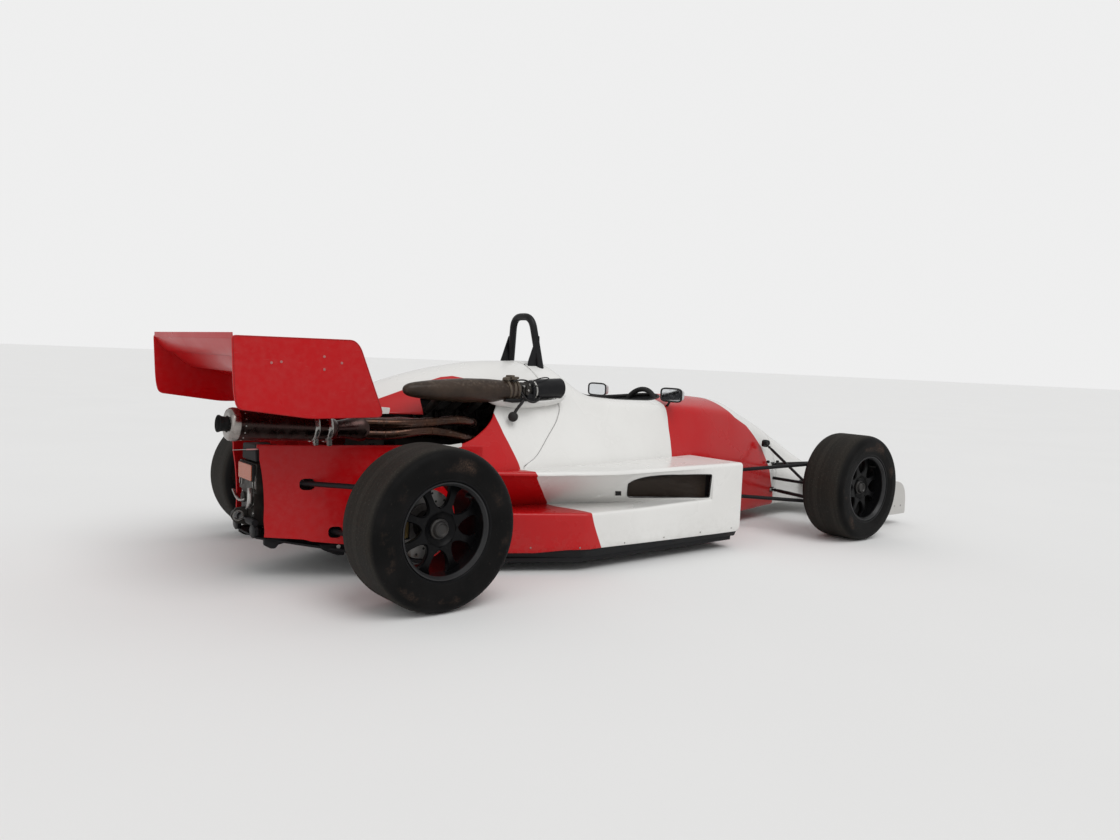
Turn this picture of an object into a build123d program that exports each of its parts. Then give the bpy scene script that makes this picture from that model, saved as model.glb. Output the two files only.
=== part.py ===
from build123d import *
import math
import os

# An open wheel, single-seat racing car: a narrow hull with long sidepods, a four-cylinder engine under
# an open-sided cover, a three-element rear wing, and four slick tyres on pushrod suspension.
# Sizes are in millimetres. +X is forward, +Y is the car's left and +Z is up. The origin is on the
# ground, on the centre line, halfway along the car. A station is a distance ahead of the rear axle.

# Overall lengths
wheelbase = 2540
tail_overhang = 612
nose_overhang = 872
overall_length = tail_overhang + wheelbase + nose_overhang
rear_axle_x = tail_overhang - overall_length / 2
front_axle_x = rear_axle_x + wheelbase

# Wheels and tyres
rear_tyre_radius = 285
front_tyre_radius = 275
rear_tyre_width = 245
front_tyre_width = 240
rear_outer_half = 840
front_outer_half = 860
tyre_shoulder = 34
rim_radius = 178
bead_radius = 166
barrel_wall = 9
rim_lip = 12
rim_margin = 8
spoke_windows = 8
spoke_window_radius = 27
spoke_window_ring = 98
hub_face_radius = 62
wheel_nut_radius = 27
disc_radius = 124
front_disc_inset = 182
rear_disc_inset = 186
disc_thickness = 20
hub_shaft_radius = 26
half_shaft_radius = 14
cup_radius = 40
bearing_clearance = 1.0

# Body heights and skins
floor_bottom = 42
floor_thickness = 18
floor_top = floor_bottom + floor_thickness
belt_height = 420
skin = 8
tub_wall = 30
seam_gap = 2

# Sidepods
pod_front = 1760
pod_rear = 400
pod_half_width = 645
pod_rear_half_width = 430
pod_taper_start = 790
duct_rear = 950
duct_rear_half = 425
pod_bay_half = 400
ledge_height = 252
ledge_foot_half = 405
ledge_front = 1548
window_front = 1528
window_rear = 1083
window_top = 380
window_sill = 276

# Rear body
tail_end = -402
tail_panel_top = 522
tail_panel_bottom = 172
ramp_start = 200
ramp_thickness = 6

# Rear wing
wing_half_span = 482
rear_plate_thickness = 6
rear_plate_bottom = 645
rear_plate_top = 915

# Front wing
front_wing_half_span = 675
front_plate_thickness = 8

# Steering
steer_arm = 80
kingpin_inset = 238
kingpin_half = front_outer_half - kingpin_inset
upper_joint_height = 385
lower_joint_height = 165
tie_rod_height = 238
rod_radius = 9
arm_radius = 13
joint_radius = 18
swing_gap = 1.5
rack_clearance = 6
rod_end_gap = 6

os.makedirs("parts", exist_ok=True)


def ahead(station):
    """X of a station measured ahead of the rear axle."""
    return rear_axle_x + station


def save(name, *shapes):
    solids = [s for shape in shapes for s in shape.solids()]
    export_step(Compound(solids), f"parts/{name}.step")


def mirrored(shape):
    return mirror(shape, about=Plane.XZ)


def rod(start, end, radius):
    """A round bar from one point to another."""
    along = Vector(*end) - Vector(*start)
    return Solid.make_cylinder(radius, along.length, Plane(origin=start, z_dir=along))


def ball(centre, radius):
    return Pos(*centre) * Sphere(radius)


def block(x0, x1, y0, y1, z0, z1):
    """A box between six planes."""
    return Pos((x0 + x1) / 2, (y0 + y1) / 2, (z0 + z1) / 2) * Box(x1 - x0, y1 - y0, z1 - z0)


def side_prism(points, y0, y1):
    """A prism whose outline is drawn in side view, as station and height, between two widths."""
    outline = Polyline(*[(ahead(s), y0, z) for s, z in points], close=True)
    return Solid.extrude(Face(Wire(outline.edges())), Vector(0, y1 - y0, 0))


def plan_prism(points, z0, z1):
    """A prism whose outline is drawn from above, as station and y, between two heights."""
    outline = Polyline(*[(ahead(s), y, z0) for s, y in points], close=True)
    return Solid.extrude(Face(Wire(outline.edges())), Vector(0, 0, z1 - z0))


def fused(shapes):
    """All the shapes as one."""
    whole = shapes[0]
    for shape in shapes[1:]:
        whole = whole + shape
    return whole


# The hull's sections, from tail to nose.
# station, bottom half width, bottom height, belt half width, belt height, shoulder half width,
# shoulder height, crown height
nose_split = wheelbase + 100
tub_start = 600
hull_rows = [
    (-120, 200, 200, 250, tail_panel_top, 90, 628, 658),
    (270, 300, floor_top, 370, tail_panel_top, 170, 730, 787),
    (440, 330, floor_top, 450, belt_height, 215, 742, 825),
    (690, 330, floor_top, 440, belt_height, 245, 735, 856),
    (930, 330, floor_top, 425, belt_height, 255, 720, 861),
    (1180, 320, floor_top, 395, belt_height, 262, 690, 714),
    (1780, 250, floor_top, 300, 400, 232, 655, 712),
    (wheelbase - 360, 215, floor_top, 245, 370, 185, 620, 690),
    (wheelbase - 130, 190, 70, 213, 325, 158, 530, 612),
    (nose_split, 165, 80, 180, 280, 130, 436, 518),
]
nose_rows = [
    hull_rows[-1],
    (wheelbase + 460, 145, 85, 152, 200, 108, 290, 344),
    (wheelbase + 800, 105, 92, 106, 140, 80, 180, 205),
    (wheelbase + nose_overhang, 70, 108, 70, 125, 55, 145, 152),
]


def hull_section(row, inset=0.0):
    """The closed outline of the hull at one station, drawn in by the inset."""
    station, bottom, low, belt, middle, shoulder, high, crown = row
    x = ahead(station)
    right = [
        (x, -(bottom - inset), low + inset),
        (x, -(belt - inset), middle),
        (x, -(shoulder - inset), high - inset),
    ]
    left = [(x, -y, z) for x, y, z in reversed(right)]
    return Wire([
        Edge.make_line(left[-1], right[0]),
        Edge.make_line(right[0], right[1]),
        Edge.make_line(right[1], right[2]),
        Edge.make_three_point_arc(right[2], (x, 0, crown - inset), left[0]),
        Edge.make_line(left[0], left[1]),
        Edge.make_line(left[1], left[2]),
    ])


def arch_section(row, inset=0.0, drop=0.0):
    """The cover's outline above the belt, its foot lowered by the drop."""
    station, _, _, belt, middle, shoulder, high, crown = row
    x = ahead(station)
    slope = (belt - shoulder) / (high - middle)
    right = [(x, -(belt - inset + slope * drop), middle - drop), (x, -(shoulder - inset), high - inset)]
    left = [(x, -y, z) for x, y, z in reversed(right)]
    return Wire([
        Edge.make_line(left[-1], right[0]),
        Edge.make_line(right[0], right[1]),
        Edge.make_three_point_arc(right[1], (x, 0, crown - inset), left[0]),
        Edge.make_line(left[0], left[1]),
    ])


def row_at(rows, station):
    """A row between two of the table's rows."""
    for a, b in zip(rows, rows[1:]):
        if a[0] <= station <= b[0]:
            share = (station - a[0]) / (b[0] - a[0])
            return tuple(p + share * (q - p) for p, q in zip(a, b))
    raise ValueError(f"no hull section at station {station}")


# The seam between the engine cover and the tub, in side view as station and height, from the foot up.
# At its top it turns back and runs behind the roll hoop.
seam_top_height = 1020
seam_points = [
    (tub_start, belt_height), (680, 464), (774, 538), (872, 620), (900, 671), (892, 702), (835, 762),
    (835, seam_top_height),
]


def behind_seam(gap):
    """Everything behind the slanted seam, less a gap."""
    edge = [(station - gap, z) for station, z in seam_points]
    rear = tail_end - 400
    points = [(rear, -50), (tub_start - gap, -50)] + edge + [(rear, seam_top_height)]
    return side_prism(points, -pod_half_width, pod_half_width)


# Cockpit
cockpit_rear = 1065
cockpit_front = 1760
cockpit_half = 205
cavity_rear = 1020
pedal_end = nose_split - 90


def tub_rows(first, last, inset=0.0):
    """The hull's sections between two stations."""
    stations = [first] + [r[0] for r in hull_rows if first < r[0] < last] + [last]
    return [hull_section(row_at(hull_rows, s), inset) for s in stations]


def make_hull():
    return Solid.make_loft(tub_rows(tub_start, nose_split), ruled=True)


def make_tub(hull):
    cavity = Solid.make_loft(tub_rows(cavity_rear, pedal_end, tub_wall), ruled=True)
    bay = Solid.make_loft(tub_rows(tub_start - 1, engine_front + 2, skin), ruled=True)
    rear, front, half = cockpit_rear, cockpit_front, cockpit_half
    opening = plan_prism([
        (rear, -half + 45), (rear + 60, -half), (front - 260, -half), (front - 60, -half + 45),
        (front, -half + 105), (front, half - 105), (front - 60, half - 45), (front - 260, half),
        (rear + 60, half), (rear, half - 45),
    ], 450, 900)
    rack_x = front_axle_x + steer_arm
    rack_bore = rod((rack_x, -400, tie_rod_height), (rack_x, 400, tie_rod_height), rod_radius + rack_clearance)
    column_bore = rod(
        (ahead(column_station), 0, column_height),
        (ahead(column_station + 600), 0, column_height - 600 * math.tan(math.radians(column_tilt))), 24)
    return hull - behind_seam(0) - cavity - bay - opening - rack_bore - column_bore - make_duct(4)


def make_nose():
    outer = Solid.make_loft([hull_section(r) for r in nose_rows], ruled=True)
    inner = Solid.make_loft([hull_section(r, skin) for r in nose_rows[:3]], ruled=True)
    return outer - inner


# Roll hoop
hoop_station = 914
hoop_half = 112
hoop_top = 1090
hoop_lean = 26
hoop_bar = 17
stay_reach = 72


def make_hoop():
    """The hoop's bent bar, with a gusset plate and a stay behind each leg."""
    x0, x1 = ahead(hoop_station), ahead(hoop_station - hoop_lean)
    foot, crest = 560, hoop_top - hoop_bar
    half_top = hoop_half * 0.62
    path = FilletPolyline(
        (x0, -hoop_half - 14, foot), (x1, -half_top, crest), (x1, half_top, crest), (x0, hoop_half + 14, foot),
        radius=half_top * 0.8,
    )
    bar = sweep(Plane(path @ 0, z_dir=path % 0) * Circle(hoop_bar), path=path)
    legs = []
    for side in (-1, 1):
        top_z, stay_x = 985, ahead(hoop_station - stay_reach)
        inner, outer = hoop_half - 12, hoop_half + 12
        plate = Polyline((x0, 0, foot), (stay_x, 0, foot), (stay_x, 0, 850), (x1, 0, top_z), (x0, 0, top_z),
                         close=True)
        gusset = Solid.extrude(Face(Wire(plate.edges())), Vector(0, outer - inner, 0))
        legs.append(Pos(0, inner if side > 0 else -outer, 0) * gusset)
    return fused([bar] + legs)


def make_cover():
    rows = [r for r in hull_rows if r[0] < cockpit_rear]
    outer = Solid.make_loft([arch_section(r) for r in rows], ruled=True)
    inner = Solid.make_loft([arch_section(r, skin, 60) for r in rows], ruled=True)
    foot = tail_panel_top - 20
    channel = side_prism([
        (tail_end, foot), (tail_end, 634), (220, 634), (220, 698), (585, 698), (545, 655), (515, 617), (455, 573),
        (375, 535), (250, foot),
    ], -pod_half_width, -20)
    cover = (outer - inner - channel) & behind_seam(seam_gap)
    return cover - make_plenum(4) - make_duct(4)


# Plan curve of the tail panels: station, y
tail_curve = [(pod_rear - 2, 430), (270, 370), (-120, 250), (tail_end, 147)]


def make_tail_panels():
    inner = [(s, y - skin) for s, y in reversed(tail_curve)]
    wall = plan_prism(tail_curve + inner, floor_bottom, tail_panel_top)
    under = side_prism([
        (pod_rear + 60, floor_bottom - 40), (pod_rear + 60, floor_top), (ramp_start, floor_top),
        (tail_end - 20, tail_panel_bottom + 6), (tail_end - 20, floor_bottom - 40),
    ], 0, pod_half_width)
    holes = [rod((ahead(0), 100, rear_tyre_radius), (ahead(0), 500, rear_tyre_radius), 48)]
    for ends, outer_end in ((rear_upper_inner, rear_upper_outer), (rear_lower_inner, rear_lower_outer)):
        holes += [rod(at(end), at(outer_end), arm_radius + 12) for end in ends]
    holes.append(rod(at(rear_pushrod[0]), at(rear_pushrod[1]), arm_radius + 12))
    arch = Solid.make_loft([arch_section(r, 0, 60) for r in hull_rows if r[0] < tub_start], ruled=True)
    panel = wall - under - arch
    panel = max(panel.solids(), key=lambda s: s.volume)
    for hole in holes:
        panel = panel - hole
    return [panel, mirrored(panel)]


def make_floor():
    """A flat floor under the pods and hull, rising to a ramp between the rear wheels."""
    top = floor_top
    profile = side_prism([
        (tail_end, tail_panel_bottom - ramp_thickness), (ramp_start - 40, top - ramp_thickness),
        (ramp_start, floor_bottom), (wheelbase - 240, floor_bottom), (wheelbase - 240, top),
        (ramp_start, top), (tail_end, tail_panel_bottom),
    ], -pod_half_width, pod_half_width)
    half = pod_half_width - 35
    plan = [
        (tail_end + 8, 118), (-120, 225), (pod_rear - 30, pod_rear_half_width - 35),
        (pod_taper_start, half), (pod_front - 20, half), (pod_front + 90, 245), (wheelbase - 235, 200),
    ]
    outline = plan + [(s, -y) for s, y in reversed(plan)]
    return profile & plan_prism(outline, 0, 300)


def make_pod(hull):
    """The left sidepod: a shell with a front inlet, a cut-back upper flank over a ledge, and a side window."""
    outline = [
        (pod_front, 260), (pod_front, pod_half_width), (pod_taper_start, pod_half_width),
        (pod_rear, pod_rear_half_width), (pod_rear, 260),
    ]
    shell = plan_prism(outline, floor_top, belt_height)
    wedge = [
        (pod_front + 5, pod_half_width - 30, pod_half_width + 10),
        (pod_taper_start, pod_half_width - 30, pod_half_width + 10),
        (pod_rear - 5, pod_rear_half_width - 45, pod_rear_half_width + 10),
    ]
    tucks = []
    for (sa, ya, ea), (sb, yb, eb) in zip(wedge, wedge[1:]):
        ends = []
        for s, y, e in ((sa, ya, ea), (sb, yb, eb)):
            x = ahead(s)
            corner = Polyline((x, y, floor_top - 1), (x, e, floor_top - 1), (x, e, floor_top + 34), close=True)
            ends.append(Wire(corner.edges()))
        tucks.append(Solid.make_loft(ends, ruled=True))
    recess_rows = [
        (ledge_front, pod_half_width - 32, pod_half_width - 2),
        (pod_taper_start, ledge_foot_half, pod_half_width - 8),
        (pod_rear - 5, 300, pod_rear_half_width - 10),
    ]
    ends = []
    for s, foot, lip in recess_rows:
        x = ahead(s)
        step = Polyline((x, foot, ledge_height), (x, pod_half_width + 40, ledge_height),
                        (x, pod_half_width + 40, belt_height - 16), (x, lip, belt_height - 16), close=True)
        ends.append(Wire(step.edges()))
    recess = Solid.make_loft(ends, ruled=True)
    duct_ends = []
    for s, outer in ((pod_front + 1, pod_half_width - 20), (duct_rear, duct_rear_half)):
        x = ahead(s)
        mouth = Polyline((x, 330, floor_top + 22), (x, outer, floor_top + 22), (x, outer, belt_height - 14),
                         (x, 330, belt_height - 14), close=True)
        duct_ends.append(Wire(mouth.edges()))
    flank = Solid.make_loft(tub_rows(duct_rear - 20, pod_front + 20, -skin), ruled=True)
    duct = Solid.make_loft(duct_ends, ruled=True) - flank
    window = side_prism([
        (window_rear, window_sill + 12), (window_front, window_sill), (window_front, window_top),
        (window_rear + 80, window_top), (window_rear, window_top - 38),
    ], 430, pod_half_width + 20)
    bay = block(ahead(pod_rear - 50), ahead(engine_front + 10), 0, pod_bay_half, 0, belt_height + 5)
    pod = shell - recess - duct - window - bay - hull
    for tuck in tucks:
        pod = pod - tuck
    return pod


# Radiator core, mesh and their places inside the left pod
core_station = 1330
core_thickness = 45


def make_radiator():
    y0, y1 = 405, 545
    x0, x1 = ahead(core_station), ahead(core_station + core_thickness)
    return block(x0, x1, y0, y1, floor_top + 22, belt_height - 14)


def make_window_mesh():
    """A flat mesh panel just inside the side window."""
    start, end = (window_front - 3, 604), (window_rear + 3, 499)
    outline = [start, (end[0], end[1]), (end[0], end[1] - 5), (start[0], start[1] - 5)]
    return plan_prism(outline, window_sill + 14, window_top - 2)


# Engine: block and head as one section, drawn from the front as y and height
engine_front = 690
engine_rear = 185
engine_section = [
    (-130, 95), (150, 95), (165, 330), (140, 430), (105, 450), (105, 650), (-95, 650), (-95, 450), (-130, 420),
]
port_pitch = 105
first_port = 600
exhaust_port_height = 560
intake_port_height = exhaust_port_height + 62


def make_engine():
    x0 = ahead(engine_rear)
    outline = Polyline(*[(x0, y, z) for y, z in engine_section], close=True)
    return Solid.extrude(Face(Wire(outline.edges())), Vector(engine_front - engine_rear, 0, 0))


gearbox_end = -386


def make_gearbox():
    """Bellhousing, gear case and end cover in a line behind the engine."""
    ends = []
    for s, w, low, high in ((engine_rear, 150, 110, 430), (20, 100, 165, 390)):
        x = ahead(s)
        ends.append(Wire(Polyline((x, -w, low), (x, w, low), (x, w, high), (x, -w, high), close=True).edges()))
    bell = Solid.make_loft(ends, ruled=True)
    case = block(ahead(-310), ahead(20), -100, 100, 190, 385)
    end = block(ahead(gearbox_end), ahead(-310), -70, 70, 205, 350)
    beam = block(ahead(gearbox_end), ahead(-338), -94, 94, 330, 440)
    tower = block(ahead(55), ahead(130), -104, 104, 380, 520)
    output = rod((ahead(0), -118, rear_tyre_radius), (ahead(0), 118, rear_tyre_radius), 52)
    return fused([bell, case, end, beam, tower, output, make_tow_eye()])


tow_eye_hole = 16
tow_eye_thickness = 10
tow_eye_station = gearbox_end - 38
tow_eye_height = 236


def make_tow_eye():
    """A lug with a round hole, standing out behind the gearbox."""
    outline = [
        (gearbox_end, 205), (gearbox_end, 270), (tow_eye_station - 8, 266), (tow_eye_station - 28, tow_eye_height),
        (tow_eye_station - 8, 206),
    ]
    plate = side_prism(outline, -tow_eye_thickness / 2, tow_eye_thickness / 2)
    x = ahead(tow_eye_station)
    return plate - rod((x, -20, tow_eye_height), (x, 20, tow_eye_height), tow_eye_hole)


# Exhaust: four pipes from the head's right side, gathered two by two
pipe_radius = 19
collector_station = -60
collector_y = -285
collector_z = exhaust_port_height + 30
lane_low = exhaust_port_height + 2
lane_high = exhaust_port_height + 48
# port station, y of the first bend, station where the lane starts, lane y, lane height
header_rows = [
    (600, -240, 330, -345, lane_low),
    (495, -240, 330, -345, lane_high),
    (390, -250, 250, -287, lane_low),
    (285, -250, 160, -287, lane_high),
]
silencer_front_radius = 44
silencer_radius = 57
silencer_front = (-165, collector_z - 4)
silencer_rear = (-557, collector_z + 22)
tail_pipe_radius = 29
tail_pipe_length = 33
silencer_y = -285


def make_headers():
    pipes = []
    for port, bend_y, lane_start, y, z in header_rows:
        end_y = collector_y + (21 if y > -320 else -21)
        end_z = collector_z + (21 if z == lane_high else -21)
        path = FilletPolyline(
            (ahead(port), engine_section[6][0], exhaust_port_height), (ahead(port), bend_y, z - 2),
            (ahead(lane_start), y, z), (ahead(60), y, z), (ahead(collector_station), end_y, end_z), radius=34,
        )
        pipes.append(sweep(Plane(path @ 0, z_dir=path % 0) * Circle(pipe_radius), path=path) - make_engine())
    plane = Plane(origin=(ahead(collector_station), collector_y, collector_z), z_dir=(-1, 0, 0))
    length = collector_station - silencer_front[0]
    cone = Solid.make_cone(50, 31, length, plane)
    return pipes + [cone]


def make_silencer():
    """A can that widens toward the rear, with a short open tail pipe."""
    start = (ahead(silencer_front[0]), silencer_y, silencer_front[1])
    end = (ahead(silencer_rear[0]), silencer_y, silencer_rear[1])
    along = (Vector(*end) - Vector(*start)).normalized()
    tip = Vector(*end) + along * tail_pipe_length
    length = (Vector(*end) - Vector(*start)).length
    body = Solid.make_cone(silencer_front_radius, silencer_radius, length, Plane(origin=start, z_dir=along))
    spout = rod(end, tuple(tip), tail_pipe_radius) - rod(end, tuple(tip + along), tail_pipe_radius - 3)
    return body + spout


# Air plenum and intake duct along the right side
plenum_y = -306
plenum_z = exhaust_port_height + 178
# station, radius of the intake log, from its closed rear end
plenum_rows = [(104, 12), (130, 26), (230, 40), (400, 50), (495, 49), (580, 43), (640, 39)]
plenum_front = (plenum_rows[-1][0], plenum_z + 4)
duct_radius = 38
duct_front = (880, plenum_z + 14)
throttle_length = 62


def make_plenum(grow=0.0):
    """The intake log, tapered to its rear end, and four runners from the head."""
    edge = [(ahead(s), plenum_y, plenum_z + r + grow) for s, r in plenum_rows]
    ends = [(edge[i][0], plenum_y, plenum_z) for i in (-1, 0)]
    outline = Face(Wire(Polyline(*edge, *ends, close=True).edges()))
    shapes = [Solid.revolve(outline, 360, Axis(Vector(*ends[0]), (1, 0, 0)))]
    for i in range(4):
        x = ahead(first_port - port_pitch * i)
        port = (x, engine_section[6][0], intake_port_height)
        shapes.append(rod(port, (x, plenum_y + 12, plenum_z - 18), 17 + grow))
    return fused(shapes) - make_engine()


def make_duct(grow=0.0):
    start = (ahead(plenum_front[0]), plenum_y, plenum_front[1])
    middle = (ahead(plenum_front[0] + throttle_length), plenum_y, plenum_front[1])
    end = (ahead(duct_front[0]), plenum_y, duct_front[1])
    beyond = (ahead(duct_front[0] + 5), plenum_y, duct_front[1])
    solid = rod(start, middle, duct_radius - 8 + grow) + rod(middle, end, duct_radius + grow)
    if grow:
        return solid
    bore_start = (ahead(plenum_front[0] + throttle_length + 25), plenum_y, plenum_front[1] + 1)
    return solid - rod(bore_start, beyond, duct_radius - 5)


# Rear wing sections, front to back: leading edge and trailing edge in side view, thickness
rear_planes = [
    ((-105, 742), (-448, 810), 34),
    ((-436, 786), (-558, 866), 16),
    ((-546, 846), (-608, 910), 13),
]


def aerofoil(lead, trail, thickness, y0, y1):
    """A wing element drawn in side view: a round nose, two bowed faces and a thin tail."""
    lx, lz, tx, tz = ahead(lead[0]), lead[1], ahead(trail[0]), trail[1]
    chord = Vector(tx - lx, 0, tz - lz)
    normal = Vector(chord.Z, 0, -chord.X).normalized()
    if normal.Z < 0:
        normal = -normal
    start, end = Vector(lx, y0, lz), Vector(tx, y0, tz)
    upper = start + chord * 0.32 + normal * (thickness * 0.42)
    lower = start + chord * 0.36 - normal * (thickness * 0.58)
    tail_up, tail_down = end + normal * 1.5, end - normal * 1.5
    face = Face(Wire([
        Edge.make_three_point_arc(start, upper, tail_up),
        Edge.make_line(tail_up, tail_down),
        Edge.make_three_point_arc(tail_down, lower, start),
    ]))
    return Solid.extrude(face, Vector(0, y1 - y0, 0))


def make_rear_planes():
    half = wing_half_span - rear_plate_thickness / 2
    shapes = [aerofoil(lead, trail, t, -half, half) for lead, trail, t in rear_planes]
    station, z = rear_planes[-1][1]
    gurney = block(ahead(station) - 4, ahead(station), -half, half, z - 2, z + 16)
    return shapes[:2] + [shapes[2] + gurney]


rear_plate_outline = [
    (-612, rear_plate_top), (-190, rear_plate_top + 3), (-165, 895), (-73, 663), (-82, rear_plate_bottom),
    (-340, rear_plate_bottom - 3), (-590, 676),
]


def make_rear_plates():
    plates = []
    for side in (-1, 1):
        y = side * wing_half_span
        plates.append(side_prism(rear_plate_outline, y - rear_plate_thickness / 2, y + rear_plate_thickness / 2))
    return plates


def make_wing_pillar():
    """Two upright plates from the gearbox to the wing's underside."""
    outline = [(-300, 385), (-130, 385), (-160, 560), (-170, 830), (-350, 830), (-330, 560)]
    main_plane = aerofoil(*rear_planes[0], -200, 200)
    plates = []
    for y in (-62, 56):
        plate = side_prism(outline, y, y + 6) - main_plane
        plates.append(max(plate.solids(), key=lambda s: s.volume))
    return plates


# Front wing sections, front to back: each side has a main plane and a flap outside the nose
front_planes = [
    ((wheelbase + 682, 112), (wheelbase + 450, 122), 24),
    ((wheelbase + 468, 138), (wheelbase + 372, 198), 12),
]


def make_front_planes():
    inner_half = 118
    outer_half = front_wing_half_span - front_plate_thickness
    nose_solid = Solid.make_loft([hull_section(r) for r in nose_rows], ruled=True)
    shapes = []
    for lead, trail, t in front_planes:
        plane = aerofoil(lead, trail, t, inner_half - 60, outer_half) - nose_solid
        plane = max(plane.solids(), key=lambda s: s.volume)
        shapes += [plane, mirrored(plane)]
    return shapes


def make_front_plates():
    plates = []
    outline = [
        (wheelbase + 362, 62), (wheelbase + 362, 250), (wheelbase + 596, 257), (wheelbase + 650, 242),
        (wheelbase + 682, 206), (wheelbase + 695, 160), (wheelbase + 698, 62),
    ]
    for side in (-1, 1):
        y0 = front_wing_half_span - front_plate_thickness
        y0, y1 = (y0, front_wing_half_span) if side > 0 else (-front_wing_half_span, -y0)
        plates.append(side_prism(outline, y0, y1))
    return plates


# Suspension points on the left, as station, y, height
upper_outer = (wheelbase - 12, kingpin_half - 8, upper_joint_height)
lower_outer = (wheelbase + 2, kingpin_half + 6, lower_joint_height)
front_upper_inner = [(wheelbase - 390, 246, 312), (wheelbase + 70, 175, 318)]
front_lower_inner = [(wheelbase - 390, 240, 176), (wheelbase + 70, 178, 172)]
front_pushrod = [(wheelbase - 50, 209, 452), (wheelbase - 14, kingpin_half - 58, lower_joint_height + 30)]
rear_upper_outer = (-20, rear_outer_half - 240, 392)
rear_lower_outer = (0, rear_outer_half - 228, 170)
rear_upper_inner = [(-300, 96, 372), (140, 110, 372)]
rear_lower_inner = [(-187, 96, 198), (150, 110, 165)]
rear_pushrod = [(75, 100, 500), (30, rear_outer_half - 284, 200)]


def at(point):
    return (ahead(point[0]), point[1], point[2])


def wishbone(inner, outer, radius=arm_radius):
    legs = [rod(at(p), at(outer), radius) for p in inner]
    return fused(legs + [ball(at(outer), joint_radius)])


def make_link(points, trim, radius):
    """A pushrod between two points, less what carries it."""
    link = rod(at(points[0]), at(points[1]), radius)
    for solid in trim:
        link = link - solid
    return max(link.solids(), key=lambda s: s.volume)


def wheel_parts(axle_x, radius, width, outer_half, disc_y, shaft_end):
    """Left wheel: tyre, rim, and hub with its brake disc. The wheel's axis runs along Y."""
    y_out, y_in = outer_half, outer_half - width
    centre = Vector(axle_x, 0, radius)

    def turned(points):
        outline = Polyline(*[(axle_x, y, radius + r) for y, r in points], close=True)
        return Solid.revolve(Face(Wire(outline.edges())), 360, Axis(centre, (0, 1, 0)))

    side = rim_margin
    tyre = turned([
        (y_in + side + rim_lip, bead_radius), (y_out - side - rim_lip, bead_radius),
        (y_out - side - rim_lip, rim_radius + 1), (y_out - side + 1, rim_radius + 1), (y_out, rim_radius + 45),
        (y_out, radius - tyre_shoulder), (y_out - 12, radius - 10), (y_out - tyre_shoulder, radius - 1),
        (y_out - tyre_shoulder - 6, radius), (y_in + tyre_shoulder + 6, radius),
        (y_in + tyre_shoulder, radius - 1), (y_in + 12, radius - 10), (y_in, radius - tyre_shoulder),
        (y_in, rim_radius + 45),
        (y_in + side - 1, rim_radius + 1), (y_in + side + rim_lip, rim_radius + 1),
    ])
    face_y = y_out - 62
    rim = turned([
        (y_in + side, rim_radius), (y_in + side + rim_lip, rim_radius - 2), (y_in + side + rim_lip, bead_radius),
        (y_out - side - rim_lip, bead_radius), (y_out - side - rim_lip, rim_radius - 2),
        (y_out - side, rim_radius), (y_out - side, rim_radius - 6), (y_out - side - rim_lip - 4, bead_radius - barrel_wall),
        (face_y + 8, bead_radius - barrel_wall - 6), (face_y - 4, hub_face_radius + 8),
        (face_y - 10, hub_face_radius), (face_y - 10, hub_shaft_radius), (face_y - 26, hub_shaft_radius),
        (face_y - 26, hub_face_radius + 12), (face_y - 12, bead_radius - barrel_wall - 4),
        (y_in + side + rim_lip + 4, bead_radius - barrel_wall), (y_in + side, rim_radius - 6),
    ])
    for i in range(spoke_windows):
        angle = 2 * math.pi * i / spoke_windows
        x, z = axle_x + spoke_window_ring * math.cos(angle), radius + spoke_window_ring * math.sin(angle)
        rim = rim - rod((x, face_y - 60, z), (x, face_y + 40, z), spoke_window_radius)
    shaft = [rod((axle_x, disc_y - 90, radius), (axle_x, face_y + 12, radius), hub_shaft_radius)]
    if shaft_end < disc_y - 90:
        shaft += [
            rod((axle_x, shaft_end, radius), (axle_x, disc_y - 90, radius), half_shaft_radius),
            rod((axle_x, shaft_end, radius), (axle_x, shaft_end + 60, radius), cup_radius),
            rod((axle_x, disc_y - 130, radius), (axle_x, disc_y - 78, radius), cup_radius),
        ]
    hub = fused(shaft + [
        rod((axle_x, disc_y, radius), (axle_x, face_y - 26, radius), hub_face_radius - 14),
        rod((axle_x, disc_y, radius), (axle_x, disc_y + disc_thickness, radius), disc_radius),
        rod((axle_x, face_y - 10, radius), (axle_x, face_y + 16, radius), wheel_nut_radius + 9),
    ])
    return tyre, rim, hub


def make_upright(x, z_axle, upper, lower, gap, disc_y):
    """A left upright between its two ball joints, bored for the hub's shaft, with the brake caliper."""
    y0, y1 = upper[1] - 6, disc_y - 12
    top, foot = upper[2] - gap, lower[2] + gap
    ux, lx = ahead(upper[0]), ahead(lower[0])
    outline = Polyline(
        (x - 46, y0, z_axle - 44), (lx - 26, y0, foot), (lx + 26, y0, foot), (x + 46, y0, z_axle - 44),
        (x + 46, y0, z_axle + 44), (ux + 24, y0, top), (ux - 24, y0, top), (x - 46, y0, z_axle + 44), close=True,
    )
    plate = Solid.extrude(Face(Wire(outline.edges())), Vector(0, y1 - y0, 0))
    bracket = block(x - 108, x - 40, y0, y1, z_axle - 30, z_axle + 30)
    outer_face = disc_y + disc_thickness + 16
    body = block(x - disc_radius - 12, x - 66, disc_y - 26, outer_face, z_axle - 46, z_axle + 46)
    bore = rod((x, y0 - 5, z_axle), (x, disc_y + 60, z_axle), hub_shaft_radius + bearing_clearance)
    slot = rod((x, disc_y - 6, z_axle), (x, disc_y + disc_thickness + 6, z_axle), disc_radius + 6)
    return plate + bracket + (body - slot) - bore


def make_steer_arm(x, z_axle, upper, lower):
    """The left steering arm: a bar forward of the kingpin, flat on top at its end."""
    level = tie_rod_height - joint_radius - rod_end_gap
    end_x = x + steer_arm
    bar = block(x + 30, end_x + 14, upper[1] + 2, upper[1] + 26, level - 18, level)
    return bar


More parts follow.
